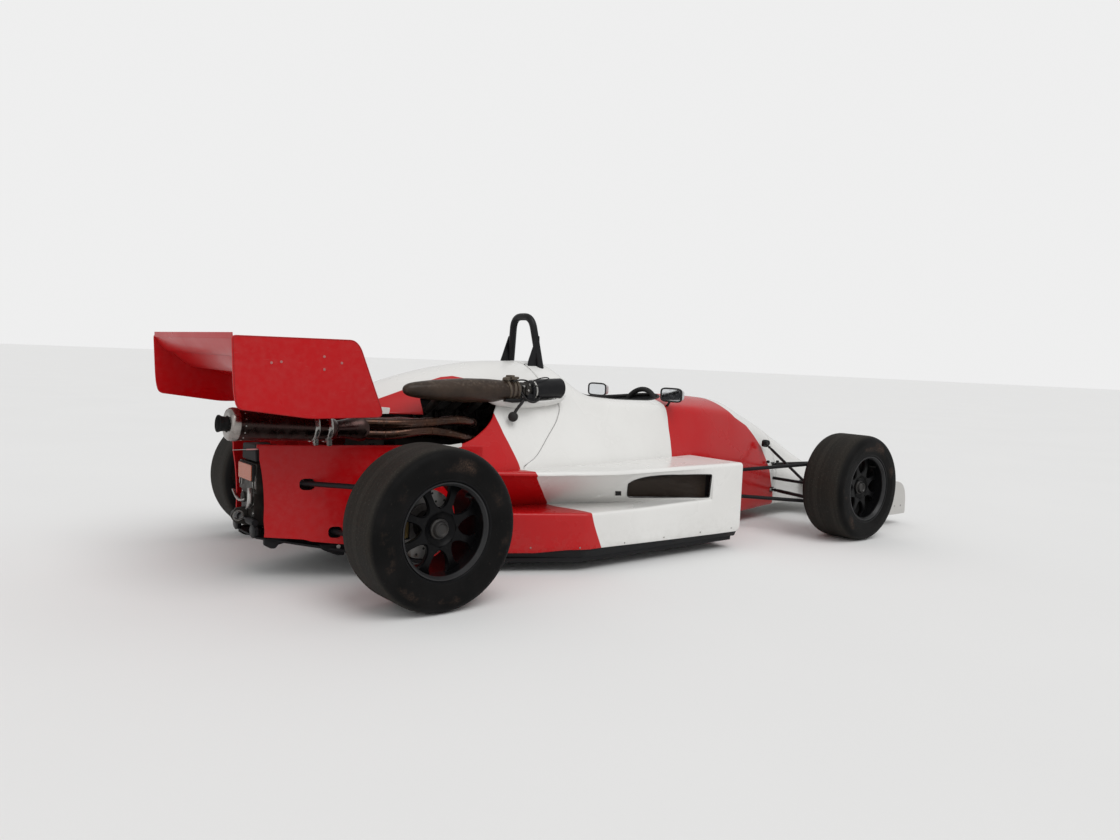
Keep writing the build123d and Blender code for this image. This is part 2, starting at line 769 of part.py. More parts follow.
def make_steering_wheel():
    """A small flat-bottomed wheel on its boss, square to the column."""
    ring = sweep(Plane(origin=(0, 122, 0), z_dir=(1, 0, 0)) * Circle(14), path=Edge.make_circle(122, Plane.XY))
    spoke = Pos(0, 0, -4) * Box(34, 236, 8)
    boss = Solid.make_cylinder(34, 26, Plane(origin=(0, 0, -22)))
    return ring + spoke + boss


# Steering wheel and column
column_station = 1672
column_height = 622
column_tilt = 14
column_length = 420


def make_column():
    """The left-to-right centred steering wheel with its column, tilted back toward the driver."""
    centre = (ahead(column_station), 0, column_height)
    tilt = math.radians(column_tilt)
    along = Vector(math.cos(tilt), 0, -math.sin(tilt))
    plane = Plane(origin=centre, x_dir=(0, 1, 0), z_dir=-along)
    wheel = plane.location * make_steering_wheel()
    shaft = rod(centre, tuple(Vector(*centre) + along * column_length), 11)
    return wheel + shaft


def make_rack():
    """The rack and its two track rods: one straight bar through the bulkhead, with an eye at each end."""
    x = front_axle_x + steer_arm
    half = upper_outer[1] + 14
    bar = rod((x, -half, tie_rod_height), (x, half, tie_rod_height), rod_radius)
    low, high = tie_rod_height - joint_radius, tie_rod_height + 8
    eyes = [rod((x, s * half, low), (x, s * half, high), 15) for s in (-1, 1)]
    return fused([bar] + eyes)


seat_half = 195
seat_length = 476
seat_top = 600
seat_pan = 40


def make_seat():
    """A one-piece reclined seat inside the cavity."""
    back, low = cavity_rear + 4, floor_top + tub_wall + 4
    front = back + seat_length
    profile = [
        (back, low), (front, low), (front, low + seat_pan + 2), (front - 260, low + seat_pan - 10),
        (back + 96, low + 106), (back + seat_pan, seat_top), (back, seat_top),
    ]
    return side_prism(profile, -seat_half, seat_half)


def make_headrest():
    return block(ahead(cockpit_rear - 30), ahead(cockpit_rear + 30), -95, 95, 640, 760)


mirror_station = 1620
mirror_half = 282


def make_mirror(side):
    """A mirror pod on a short stalk; its glass faces backward."""
    x = ahead(mirror_station)
    ends = []
    for reach, half, low, high in ((0, 72, 692, 758), (46, 52, 702, 748)):
        y0, y1 = mirror_half - half, mirror_half + half
        ends.append(Wire(Polyline((x + reach, y0, low), (x + reach, y1, low), (x + reach, y1, high),
                                  (x + reach, y0, high), close=True).edges()))
    pod = Solid.make_loft(ends, ruled=True)
    stalk = rod((x + 22, 238, 645), (x + 22, mirror_half - 10, 706), 7)
    whole = pod + stalk
    return whole if side > 0 else mirrored(whole)


# Rear light: half width, bottom, top
rear_light_half = 76
rear_light_heights = (372, 438)


def make_rain_light():
    return block(ahead(gearbox_end - 14), ahead(gearbox_end), -rear_light_half, rear_light_half, *rear_light_heights)


def main():
    hull = make_hull()
    nose_solid = Solid.make_loft([hull_section(r) for r in nose_rows], ruled=True)
    tub = make_tub(hull)
    engine = make_engine()
    gearbox = make_gearbox() - engine
    save("monocoque", tub)
    save("nose_cone", make_nose())
    hoop = make_hoop() - tub
    save("roll_hoop", max(hoop.solids(), key=lambda s: s.volume))
    save("engine_cover", make_cover())
    save("tail_panels", *make_tail_panels())
    save("floor", make_floor())
    pod = make_pod(hull)
    save("sidepod_left", pod)
    save("sidepod_right", mirrored(pod))
    core = make_radiator() - pod
    save("radiators", core, mirrored(core))
    mesh = make_window_mesh() - pod
    save("window_mesh", mesh, mirrored(mesh))
    save("engine_block", engine)
    save("gearbox", gearbox)
    headers = make_headers()
    save("exhaust_headers", *headers)
    silencer = make_silencer()
    for pipe in headers:
        silencer = silencer - pipe
    save("silencer", silencer)
    save("air_plenum", make_plenum())
    save("intake_duct", make_duct())
    save("rear_wing_planes", *make_rear_planes())
    save("rear_wing_plates", *make_rear_plates())
    save("rear_wing_pillar", *[plate - gearbox for plate in make_wing_pillar()])
    save("front_wing_planes", *make_front_planes())
    save("front_wing_plates", *make_front_plates())
    save("seat", make_seat(), make_headrest() - tub)
    save("mirrors", make_mirror(1) - tub, make_mirror(-1) - tub)
    save("rain_light", make_rain_light())
    save("steering_wheel", make_column())
    save("steering_rack", make_rack())

    arms = {}
    arms["front_upper"] = wishbone(front_upper_inner, upper_outer) - hull - nose_solid
    arms["front_lower"] = wishbone(front_lower_inner, lower_outer) - hull - nose_solid
    arms["rear_upper"] = wishbone(rear_upper_inner, rear_upper_outer) - gearbox - engine
    arms["rear_lower"] = wishbone(rear_lower_inner, rear_lower_outer) - gearbox - engine
    for end in ("front", "rear"):
        pair = [arms[f"{end}_upper"], arms[f"{end}_lower"]]
        save(f"{end}_wishbones", *pair, *[mirrored(arm) for arm in pair])
    push = make_link(front_pushrod, [hull, arms["front_lower"]], rod_radius)
    save("front_pushrods", push, mirrored(push))
    push = make_link(rear_pushrod, [gearbox, engine, arms["rear_lower"]], rod_radius)
    save("rear_pushrods", push, mirrored(push))

    front_disc, rear_disc = front_outer_half - front_disc_inset, rear_outer_half - rear_disc_inset
    knuckle = make_upright(
        front_axle_x, front_tyre_radius, upper_outer, lower_outer, joint_radius + swing_gap, front_disc)
    knuckle = knuckle + make_steer_arm(front_axle_x, front_tyre_radius, upper_outer, lower_outer)
    save("front_upright_left", knuckle)
    save("front_upright_right", mirrored(knuckle))
    upright = make_upright(
        rear_axle_x, rear_tyre_radius, rear_upper_outer, rear_lower_outer, joint_radius - 4, rear_disc)
    upright = upright - arms["rear_upper"] - arms["rear_lower"]
    save("rear_uprights", upright, mirrored(upright))
    front = (front_axle_x, front_tyre_radius, front_tyre_width, front_outer_half, front_disc, front_disc - 90)
    rear = (rear_axle_x, rear_tyre_radius, rear_tyre_width, rear_outer_half, rear_disc, 130)
    for end, sizes in (("front", front), ("rear", rear)):
        tyre, rim, hub = wheel_parts(*sizes)
        for piece, shape in (("tyre", tyre), ("rim", rim), ("hub", hub)):
            save(f"{end}_{piece}_left", shape)
            save(f"{end}_{piece}_right", mirrored(shape))


main()
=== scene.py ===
import bmesh
import bpy
import math
import numpy as np
from mathutils import Matrix, Vector


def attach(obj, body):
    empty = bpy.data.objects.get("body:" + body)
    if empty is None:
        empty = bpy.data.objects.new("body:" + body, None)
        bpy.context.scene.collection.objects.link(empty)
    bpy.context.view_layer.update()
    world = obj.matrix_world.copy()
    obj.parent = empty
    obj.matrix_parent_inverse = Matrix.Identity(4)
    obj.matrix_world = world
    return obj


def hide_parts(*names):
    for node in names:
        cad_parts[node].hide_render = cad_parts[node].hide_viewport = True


# An open wheel racing car. Places in the tables are in metres ahead of the rear axle, left of the
# centre line and above the ground. addPiece moves them to the frame, whose X starts further forward.

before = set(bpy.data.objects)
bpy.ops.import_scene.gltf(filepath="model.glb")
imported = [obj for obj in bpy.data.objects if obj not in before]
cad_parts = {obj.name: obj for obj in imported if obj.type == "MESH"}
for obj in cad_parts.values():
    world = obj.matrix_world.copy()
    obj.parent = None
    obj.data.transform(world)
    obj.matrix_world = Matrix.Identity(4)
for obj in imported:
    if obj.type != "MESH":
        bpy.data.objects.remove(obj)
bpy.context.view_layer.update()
rearAxle = 1.4
wheelbase = 2.54
print("frame loaded")

# Camera and light

photoView = {
    "place": (-2.9065, -3.2673, 0.8792),
    "yaw": 51.01,      # degrees from the car's nose direction
    "pitch": -4.04,
    "roll": 2.39,
    "lens": 27.446,
}


def addCamera(view):
    # A camera that looks along (cos yaw cos pitch, sin yaw cos pitch, sin pitch), then rolled.
    yaw, pitch, roll = (math.radians(view[k]) for k in ("yaw", "pitch", "roll"))
    ahead = Vector((math.cos(yaw) * math.cos(pitch), math.sin(yaw) * math.cos(pitch), math.sin(pitch)))
    right = ahead.cross(Vector((0, 0, 1))).normalized()
    up = right.cross(ahead)
    right, up = math.cos(roll) * right + math.sin(roll) * up, math.cos(roll) * up - math.sin(roll) * right
    camera = bpy.data.objects.new("camera", bpy.data.cameras.new("camera"))
    bpy.context.scene.collection.objects.link(camera)
    turn = Matrix((right, up, -ahead)).transposed().to_4x4()
    camera.matrix_world = Matrix.Translation(view["place"]) @ turn
    camera.data.lens = view["lens"]
    camera.data.sensor_width = 36
    camera.data.clip_end = 400
    bpy.context.scene.camera = camera


addCamera(photoView)

light = {"sky": 0.62, "backdrop": 0.86, "sun": 1.25, "sunAngle": 40, "fill": 0.35}


def addSun(name, strength, angle, turn):
    # A sun lamp: its strength, its width as an angle, and three turns in degrees.
    lamp = bpy.data.objects.new(name, bpy.data.lights.new(name, "SUN"))
    lamp.data.energy = strength
    lamp.data.angle = math.radians(angle)
    lamp.rotation_euler = [math.radians(t) for t in turn]
    bpy.context.scene.collection.objects.link(lamp)


addSun("keyLight", light["sun"], light["sunAngle"], (32, -14, 20))
addSun("rearLight", light["fill"], 60, (62, 0, -62))
bpy.context.scene.view_settings.view_transform = "Standard"

# Sums on sockets


def operators(kind):
    # Two methods that join a value and another one by a Math node, in either order.
    def join(first, second):
        finish = (first if isinstance(first, Value) else second).finish
        return finish.node("ShaderNodeMath", {"operation": kind}, {0: first, 1: second})

    return join, lambda value, other: join(other, value)


class Value:
    # A node's output. Plus, minus, times, over, power and abs on it add Math nodes.
    def __init__(self, finish, socket):
        self.finish, self.socket = finish, socket

    __add__, __radd__ = operators("ADD")
    __sub__, __rsub__ = operators("SUBTRACT")
    __mul__, __rmul__ = operators("MULTIPLY")
    __truediv__, __rtruediv__ = operators("DIVIDE")
    __pow__, __rpow__ = operators("POWER")

    def __abs__(self):
        return self.finish.node("ShaderNodeMath", {"operation": "ABSOLUTE"}, {0: self})

    def step(self, low, high, start=0.0, end=1.0):
        # from start to end as the value goes from low to high
        return self.finish.node("ShaderNodeMapRange", {"clamp": True}, {
            "Value": self, "From Min": low, "From Max": high, "To Min": start, "To Max": end})


class Finish:
    # A material. node() adds any node and gives one of its outputs.
    def __init__(self, name):
        self.material = bpy.data.materials.new(name)
        self.material.use_nodes = True
        self.tree = self.material.node_tree
        self.shader = self.tree.nodes["Principled BSDF"]

    def put(self, socket, value):
        if isinstance(value, Value):
            self.tree.links.new(value.socket, socket)
        elif socket.type == "RGBA" and len(value) == 3:
            socket.default_value = (*value, 1)
        else:
            socket.default_value = value

    def node(self, kind, settings, inputs, output=0):
        made = self.tree.nodes.new(kind)
        for key, setting in settings.items():
            if key == "stops":
                for spot, (where, colour) in zip(made.color_ramp.elements, setting):
                    spot.position, spot.color = where, (*colour, 1)
            else:
                setattr(made, key, setting)
        for key, value in inputs.items():
            self.put(made.inputs[key], value)
        return Value(self, made.outputs[output])

    def place(self, centre=(0, 0, 0), turn=(0, 0, 0), scale=(1, 1, 1)):
        # the surface's own place, drawn back to a centre, then turned and scaled
        here = self.node("ShaderNodeTexCoord", {}, {}, "Object")
        back = self.node("ShaderNodeVectorMath", {"operation": "SUBTRACT"}, {0: here, 1: centre})
        return self.node("ShaderNodeMapping", {}, {
            "Vector": back, "Rotation": [math.radians(t) for t in turn], "Scale": scale})

    def axes(self, vector):
        return [self.node("ShaderNodeSeparateXYZ", {}, {0: vector}, i) for i in range(3)]

    def sine(self, value):
        return self.node("ShaderNodeMath", {"operation": "SINE"}, {0: value})

    def noise(self, vector, scale, detail=3.0, rough=0.55):
        return self.node("ShaderNodeTexNoise", {}, {
            "Vector": vector, "Scale": scale, "Detail": detail, "Roughness": rough})

    def blend(self, share, first, second):
        return self.node("ShaderNodeMix", {"data_type": "RGBA"}, {0: share, 6: first, 7: second}, 2)

    def own(self, name):
        return self.node("ShaderNodeAttribute", {"attribute_name": name}, {}, "Fac")

    def bump(self, height, distance, strength=1.0):
        return self.node("ShaderNodeBump", {}, {"Height": height, "Distance": distance, "Strength": strength})

    def set(self, **values):
        names = {
            "colour": "Base Color", "rough": "Roughness", "metal": "Metallic", "coat": "Coat Weight",
            "coatRough": "Coat Roughness", "normal": "Normal",
            "shine": "Specular IOR Level", "sheen": "Sheen Weight",
        }
        for key, value in values.items():
            self.put(self.shader.inputs[names[key]], value)
        return self.material


# Colours, as the shader takes them
colours = {
    "white": (0.74, 0.735, 0.715),
    "red": (0.46, 0.0015, 0.004),
    # the front wing's white is greyer than the body's: partly painted shade
    "wingWhiteShaded": (0.5, 0.49, 0.47),
    "floorBlack": (0.01, 0.01, 0.011),
    "armBlack": (0.007, 0.007, 0.008),
    "alloy": (0.33, 0.33, 0.32),
    "fibre": (0.022, 0.013, 0.009),
    "tread": (0.022, 0.019, 0.016),
    # sidewall and rim are near black: partly their own colour, partly painted shade on the wheels
    "sidewallAndShade": (0.0032, 0.0032, 0.0032),
    "rim": (0.0036, 0.0036, 0.004),
}


def bodyPaint():
    # Clear-coated paint. The red lies where the piece's own "paint" value is above nought, with a
    # hairline between the colours, faint dust low down and a fine orange-peel surface.
    f = Finish("bodyPaint")
    here = f.place()
    z = f.axes(here)[2]
    red = f.own("paint").step(-0.0006, 0.0006)
    cloud = f.noise(here, 2.6, 4)
    fine = f.noise(here, 38, 3)
    colour = f.blend(red, colours["white"], colours["red"])
    colour = f.blend(cloud.step(0.35, 0.75, 0.0, 0.1), colour, (0.22, 0.19, 0.17))
    low = z.step(0.2, 0.05) * fine.step(0.38, 0.7) * 0.16
    colour = f.blend(low, colour, (0.16, 0.13, 0.1))
    scratch = f.noise(f.place(scale=(4, 60, 60)), 6, 2).step(0.7, 0.73) * 0.06
    colour = f.blend(scratch, colour, (0.7, 0.62, 0.58))
    rough = cloud.step(0.3, 0.7, 0.2, 0.34) + low * 0.8
    peel = f.bump(f.noise(here, 260, 2), 0.00012, 0.35)
    return f.set(colour=colour, rough=rough, coat=0.12, coatRough=0.06, shine=0.22, normal=peel)


def plainPaint(name, colour, dust=(0.32, 0.26, 0.24), gloss=0.3):
    # One colour of paint with clouded gloss, fine scratches along the car and dust in its lower parts.
    f = Finish(name)
    here = f.place()
    cloud = f.noise(here, 3.2, 4)
    fine = f.noise(here, 46, 3)
    made = f.blend((cloud * fine).step(0.18, 0.45, 0.0, 0.07), colour, dust)
    made = f.blend(cloud.step(0.35, 0.72, 0.0, 0.22), made, tuple(c * 0.72 for c in colour))
    scratch = f.noise(f.place(scale=(3, 50, 90)), 5, 2).step(0.71, 0.74) * 0.08
    made = f.blend(scratch, made, (0.62, 0.45, 0.42))
    rough = cloud.step(0.3, 0.7, gloss - 0.07, gloss + 0.1)
    return f.set(colour=made, rough=rough, coat=0.1, coatRough=0.08, shine=0.2,
                 normal=f.bump(f.noise(here, 240, 2), 0.00012, 0.35))


def mouldedBlack(name, colour, rough=0.55, grain=420, shine=0.2):
    # Dark plastic or satin paint: a fine grain, with paler rubbed patches.
    f = Finish(name)
    here = f.place()
    rubbed = f.noise(here, 9, 4).step(0.5, 0.78, 0.0, 0.3)
    made = f.blend(rubbed, colour, tuple(c * 2.6 + 0.004 for c in colour))
    dust = f.noise(here, 60, 3).step(0.6, 0.8, 0.0, 0.1)
    made = f.blend(dust, made, (0.1, 0.09, 0.08))
    return f.set(colour=made, rough=rubbed * 0.5 + rough, shine=shine,
                 normal=f.bump(f.noise(here, grain, 2), 0.0002, 0.5))


def tyreRubber(name, axle, outerHalf, width, radius):
    # Worn slick: the tread is grey-brown and picked up with grit, streaked round the tyre. The
    # sidewall is darker, with fine rings round the axle, and a scuffed band by the shoulder.
    f = Finish(name)
    here = f.place(centre=(axle - rearAxle, 0, radius))
    x, y, z = f.axes(here)
    out = (x * x + z * z) ** 0.5
    side = abs(abs(y) - (outerHalf - width / 2))
    tread = side.step(width / 2 - 0.012, width / 2 - 0.03)
    grit = f.noise(here, 150, 4, 0.65)
    patch = f.noise(here, 7, 4)
    streak = f.noise(f.node("ShaderNodeCombineXYZ", {}, {0: y * 60, 1: out * 3, 2: patch}), 1.0, 3)
    ground = f.blend(patch.step(0.35, 0.68), colours["tread"], (0.02, 0.019, 0.017))
    ground = f.blend(streak.step(0.45, 0.75, 0.0, 0.35), ground, (0.052, 0.046, 0.039))
    ground = f.blend(grit.step(0.58, 0.72, 0.0, 0.45), ground, (0.09, 0.08, 0.07))
    ground = f.blend(grit.step(0.4, 0.3, 0.0, 0.6), ground, (0.006, 0.006, 0.006))
    rings = f.sine(out * 1800)
    # The sidewall's near-black base is partly painted shade
    wall = f.blend(patch.step(0.4, 0.75, 0.0, 0.6), colours["sidewallAndShade"], (0.011, 0.01, 0.01))
    band = out.step(radius - 0.085, radius - 0.06) * out.step(radius - 0.025, radius - 0.045)
    scuff = band * f.noise(here, 11, 4).step(0.52, 0.66) * grit.step(0.35, 0.6) * 0.6
    wall = f.blend(scuff, wall, (0.08, 0.05, 0.036))
    wall = f.blend(f.noise(here, 90, 3).step(0.66, 0.74, 0.0, 0.12), wall, (0.08, 0.07, 0.06))
    height = tread * grit * 1.4 + (1 - tread) * (rings * 0.18 + grit * 0.35)
    return f.set(colour=f.blend(tread, wall, ground), rough=tread * 0.16 + 0.6 - patch * 0.1, shine=0.08,
                 normal=f.bump(height, 0.0009, 0.8))


def castMetal(name, colour, rough=0.45, metal=0.85, grime=0.5):
    # Sand-cast or machined metal with a pitted skin and oily dirt in patches.
    f = Finish(name)
    here = f.place()
    pit = f.noise(here, 190, 4, 0.7)
    cloud = f.noise(here, 11, 4)
    made = f.blend(cloud.step(0.35, 0.7), tuple(c * 0.72 for c in colour), colour)
    dirt = f.noise(here, 24, 5, 0.65).step(0.48, 0.66, 0.0, grime)
    made = f.blend(dirt, made, (0.035, 0.028, 0.022))
    return f.set(colour=made, metal=1 - dirt * 0.8 if metal > 0.9 else metal - dirt * metal * 0.7,
                 rough=cloud.step(0.3, 0.7, rough - 0.1, rough + 0.12) + dirt * 0.25,
                 normal=f.bump(pit, 0.0005, 0.5))


def pipeSteel():
    # Exhaust steel: straw and blue heat tints run along the car in waves, over dark soot and rust.
    f = Finish("pipeSteel")
    here = f.place()
    x = f.axes(here)[0]
    wave = f.noise(here, 5, 3) * 0.5 + abs(f.sine(x * 11)) * 0.4
    tint = f.node("ShaderNodeValToRGB", {"stops": [(0.1, (0.03, 0.016, 0.012)), (0.8, (0.085, 0.04, 0.024))]},
                  {"Fac": wave})
    tint = f.blend(wave.step(0.55, 0.85, 0.0, 0.45), tint, (0.035, 0.036, 0.055))
    soot = f.noise(here, 34, 5, 0.7).step(0.46, 0.68, 0.0, 0.6)
    made = f.blend(soot, tint, (0.016, 0.009, 0.007))
    # Thin pale streaks along the car are painted highlights
    pale = f.noise(f.place(scale=(1, 30, 30)), 8, 2).step(0.64, 0.7, 0.0, 0.35)
    made = f.blend(pale, made, (0.22, 0.17, 0.14))
    return f.set(colour=made, metal=0.92 - soot * 0.5, rough=soot.step(0.0, 0.7, 0.14, 0.42),
                 normal=f.bump(f.noise(here, 160, 4, 0.7), 0.0004, 0.4))


def wovenFibre(name, axisY, axisZ, dark, pale, turns=96, pitch=0.0045):
    # Twill weave round an axis along the car: threads cross where two sines change sign, under lacquer.
    f = Finish(name)
    here = f.place(centre=(0, axisY, axisZ))
    x, y, z = f.axes(here)
    angle = f.node("ShaderNodeMath", {"operation": "ARCTAN2"}, {0: z, 1: y})
    along = x * (2 * math.pi / pitch)
    across = angle * turns
    weave = f.sine(along + across) * f.sine(along - across)
    cloud = f.noise(here, 14, 4)
    made = f.blend(weave.step(-0.35, 0.35), dark, pale)
    made = f.blend(cloud.step(0.4, 0.72, 0.0, 0.6), made, tuple(c * 0.45 for c in dark))
    # Pale dust towards the log's top: partly real dust, partly a painted highlight along the top
    dust = f.noise(here, 70, 3).step(0.5, 0.72, 0.0, 0.45) * z.step(0.005, 0.042, 0.06, 1.0)
    made = f.blend(dust, made, (0.2, 0.155, 0.12))
    return f.set(colour=made, rough=cloud.step(0.3, 0.7, 0.3, 0.5), coat=0.2, coatRough=0.16, shine=0.16,
                 normal=f.bump(weave, 0.0004, 0.5))


def brushedDisc(name, axle, radius):
    # Iron brake disc, turned in rings round the axle, blued and rusty near its edge.
    f = Finish(name)
    here = f.place(centre=(axle - rearAxle, 0, radius))
    x, _, z = f.axes(here)
    out = (x * x + z * z) ** 0.5
    ring = f.noise(f.node("ShaderNodeCombineXYZ", {}, {0: out * 900, 1: 0.0, 2: 0.0}), 1.0, 3)
    rust = f.noise(here, 40, 4).step(0.45, 0.62) * out.step(0.1, 0.128)
    made = f.blend(ring.step(0.3, 0.7), (0.16, 0.155, 0.15), (0.3, 0.29, 0.28))
    made = f.blend(rust, made, (0.12, 0.05, 0.022))
    return f.set(colour=made, metal=0.9 - rust * 0.6, rough=0.34 + rust * 0.4,
                 normal=f.bump(ring, 0.0003, 0.6))


def wovenCloth(name, colour):
    # Seat and strap cloth: plain weave of two crossed sines, with soft fibre and faded patches.
    f = Finish(name)
    here = f.place(scale=(1700, 1700, 1700))
    x, y, z = f.axes(here)
    threads = f.sine(x + z) * f.sine(y)
    worn = f.noise(f.place(), 16, 4)
    made = f.blend(threads.step(-0.4, 0.4, 0.0, 0.5), colour, tuple(c * 2.2 + 0.01 for c in colour))
    made = f.blend(worn.step(0.45, 0.75, 0.0, 0.4), made, (0.1, 0.095, 0.09))
    return f.set(colour=made, rough=0.85, sheen=0.3, normal=f.bump(threads, 0.0005, 0.7))


def mirrorGlass():
    # Silvered glass with faint wipe marks.
    f = Finish("mirrorGlass")
    smear = f.noise(f.place(scale=(1, 1, 5)), 30, 4)
    return f.set(colour=f.blend(smear.step(0.5, 0.8, 0.0, 0.2), (0.8, 0.82, 0.84), (0.62, 0.63, 0.64)),
                 metal=1.0, rough=smear.step(0.4, 0.8, 0.04, 0.16))


def lampLens():
    # Moulded lens: small square prisms under a clear skin.
    f = Finish("lampLens")
    _, y, z = f.axes(f.place(scale=(900, 900, 900)))
    prism = f.sine(y) * f.sine(z)
    made = f.blend(prism.step(-0.5, 0.5), (0.34, 0.05, 0.022), (0.52, 0.16, 0.07))
    return f.set(colour=made, rough=0.3, coat=0.3, coatRough=0.1, shine=0.25,
                 normal=f.bump(prism, 0.0008, 0.8))


def stagePaint():
    # Pale, even studio floor.
    f = Finish("stagePaint")
    cloud = f.noise(f.place(), 0.8, 2)
    return f.set(colour=f.blend(cloud, (0.76, 0.76, 0.755), (0.79, 0.79, 0.785)), rough=0.9)


finishes = {
    "body": bodyPaint(),
    "red": plainPaint("wingRed", colours["red"]),
    "pale": plainPaint("wingPaleShaded", colours["wingWhiteShaded"], (0.34, 0.32, 0.3), 0.36),
    "floor": mouldedBlack("floorBlack", colours["floorBlack"], 0.6, 300),
    "black": mouldedBlack("satinBlack", colours["armBlack"], 0.36, 500),
    "rubber": mouldedBlack("trimRubber", (0.02, 0.019, 0.019), 0.72, 340),
    "rim": mouldedBlack("rimPaintAndShade", colours["rim"], 0.36, 520, 0.1),
    "liner": mouldedBlack("cockpitLiner", (0.045, 0.045, 0.047), 0.62, 260),
    "suede": mouldedBlack("gripSuede", (0.025, 0.024, 0.024), 0.9, 900),
    "alloy": castMetal("castAlloy", colours["alloy"], 0.48, 0.8, 0.6),
    "steel": castMetal("platedSteel", (0.46, 0.45, 0.43), 0.3, 0.95, 0.3),
    "iron": castMetal("hubIron", (0.13, 0.12, 0.115), 0.5, 0.75, 0.7),
    "pipe": pipeSteel(),
    "fibre": wovenFibre("intakeFibre", -0.306, 0.738, colours["fibre"], (0.06, 0.037, 0.023)),
    "cloth": wovenCloth("seatCloth", (0.022, 0.022, 0.023)),
    "belt": wovenCloth("beltCloth", (0.016, 0.016, 0.018)),
    "glass": mirrorGlass(),
    "lens": lampLens(),
    "gold": castMetal("caliperGold", (0.36, 0.25, 0.1), 0.42, 0.8, 0.45),
    "frontTyre": tyreRubber("frontRubber", wheelbase, 0.86, 0.24, 0.275),
    "rearTyre": tyreRubber("rearRubber", 0.0, 0.84, 0.245, 0.285),
    "frontDisc": brushedDisc("frontDisc", wheelbase, 0.275),
    "rearDisc": brushedDisc("rearDisc", 0.0, 0.285),
}
print("materials made:", len(finishes))


def addStage():
    # A wide pale floor under a white sky. The sky lights the car at one strength and is seen at another.
    size = 120
    mesh = bpy.data.meshes.new("stageFloor")
    mesh.from_pydata([(-size, -size, 0), (size, -size, 0), (size, size, 0), (-size, size, 0)], [],
                     [(0, 1, 2, 3)])
    floor = bpy.data.objects.new("stageFloor", mesh)
    bpy.context.scene.collection.objects.link(floor)
    mesh.materials.append(stagePaint())
    world = bpy.data.worlds.new("studio")
    bpy.context.scene.world = world
    world.use_nodes = True
    nodes, links = world.node_tree.nodes, world.node_tree.links
    path, back = nodes.new("ShaderNodeLightPath"), nodes["Background"]
    seen = nodes.new("ShaderNodeMath")
    seen.operation = "MAXIMUM"
    links.new(path.outputs["Is Camera Ray"], seen.inputs[0])
    links.new(path.outputs["Is Transmission Ray"], seen.inputs[1])
    level = nodes.new("ShaderNodeMapRange")
    level.inputs["To Min"].default_value = light["sky"]
    level.inputs["To Max"].default_value = light["backdrop"]
    links.new(seen.outputs[0], level.inputs["Value"])
    back.inputs["Color"].default_value = (1, 1, 1, 1)
    links.new(level.outputs[0], back.inputs["Strength"])


addStage()

# Surfaces. A shape is a pair: points, one row each, and faces, a list of point numbers.


def grid(points, roundRows=False, roundCols=False):
    # Squares between neighbours of a net of points, joined round where a direction is closed.
    rows, cols = points.shape[:2]
    i = np.arange(rows if roundRows else rows - 1)[:, None]
    j = np.arange(cols if roundCols else cols - 1)[None, :]
    corners = [i * cols + j, i * cols + (j + 1) % cols,
               (i + 1) % rows * cols + (j + 1) % cols, (i + 1) % rows * cols + j]
    faces = np.stack(np.broadcast_arrays(*corners), -1).reshape(-1, 4)
    return points.reshape(-1, 3), faces.tolist()


def joined(shapes):
    # Several shapes as one.
    shapes = list(shapes)
    starts = np.cumsum([0] + [len(p) for p, _ in shapes])
    return (np.concatenate([p for p, _ in shapes]),
            [[k + s for k in face] for s, (_, faces) in zip(starts, shapes) for face in faces])


def moved(shape, shift):
    # The same shape, shifted.
    return shape[0] + np.array(shift), shape[1]


def otherSide(shape):
    # The same shape on the other side of the centre line.
    return shape[0] * np.array([1, -1, 1]), [face[::-1] for face in shape[1]]


def bothSides(shape):
    # A shape together with its copy on the other side.
    return joined([shape, otherSide(shape)])


def asPoints(*values):
    # Numbers and arrays side by side as rows of x, y, z.
    return np.stack(np.broadcast_arrays(*values), -1).astype(float)


def frameOf(direction):
    # Two directions square to a third and to each other.
    d = np.array(direction, float)
    d = d / np.linalg.norm(d)
    guide = np.array([0.0, 0.0, 1.0]) if abs(d[2]) < 0.9 else np.array([0.0, 1.0, 0.0])
    side = np.cross(guide, d)
    side = side / np.linalg.norm(side)
    return d, side, np.cross(d, side)


def around(count):
    # Even angles round a circle.
    return np.linspace(0, 2 * np.pi, count, endpoint=False)


def soft(value, power):
    # |v|^power with the sign of v: it squares up a circle's cosine and sine.
    return np.sign(value) * np.abs(value) ** power


def turned(start, direction, profile, sides=32):
    # A profile of (distance along, radius) swung round an axis: start + d * along + r * (cos, sin).
    d, side, up = frameOf(direction)
    along, radius = np.array(profile, float).T
    angle = around(sides)[:, None]
    ring = np.cos(angle) * side + np.sin(angle) * up
    points = np.array(start) + along[:, None, None] * d + radius[:, None, None] * ring[None]
    return grid(points, roundCols=True)


def knob(start, direction, rows, sides=20):
    # A turned shape whose profile is closed to the axis at both ends.
    return turned(start, direction, [(rows[0][0], 0), *rows, (rows[-1][0], 0)], sides)


def near(across, up, offsets):
    # Points of a profile or an outline, as offsets in millimetres from a place.
    return [(across + a / 1000, up + b / 1000) for a, b in offsets]


def closed(rows):
    # A profile that ends where it starts.
    return rows + rows[:1]


def between(start, end, radii, sides=20):
    # A turned bar from start to end, closed at both ends. radii are (share of the length, radius).
    on = np.array(end, float) - np.array(start, float)
    return knob(start, on, [(t * np.linalg.norm(on), r) for t, r in radii], sides)


def eased(points, times=3, closed=False):
    # Chaikin's corner cutting: each run gives the points at a quarter and three quarters of it.
    p = np.array(points, float)
    for _ in range(times):
        nxt = np.roll(p, -1, 0) if closed else p[1:]
        here = p if closed else p[:-1]
        cut = np.stack([here * 0.75 + nxt * 0.25, here * 0.25 + nxt * 0.75], 1).reshape(-1, p.shape[1])
        p = cut if closed else np.concatenate([p[:1], cut, p[-1:]])
    return p


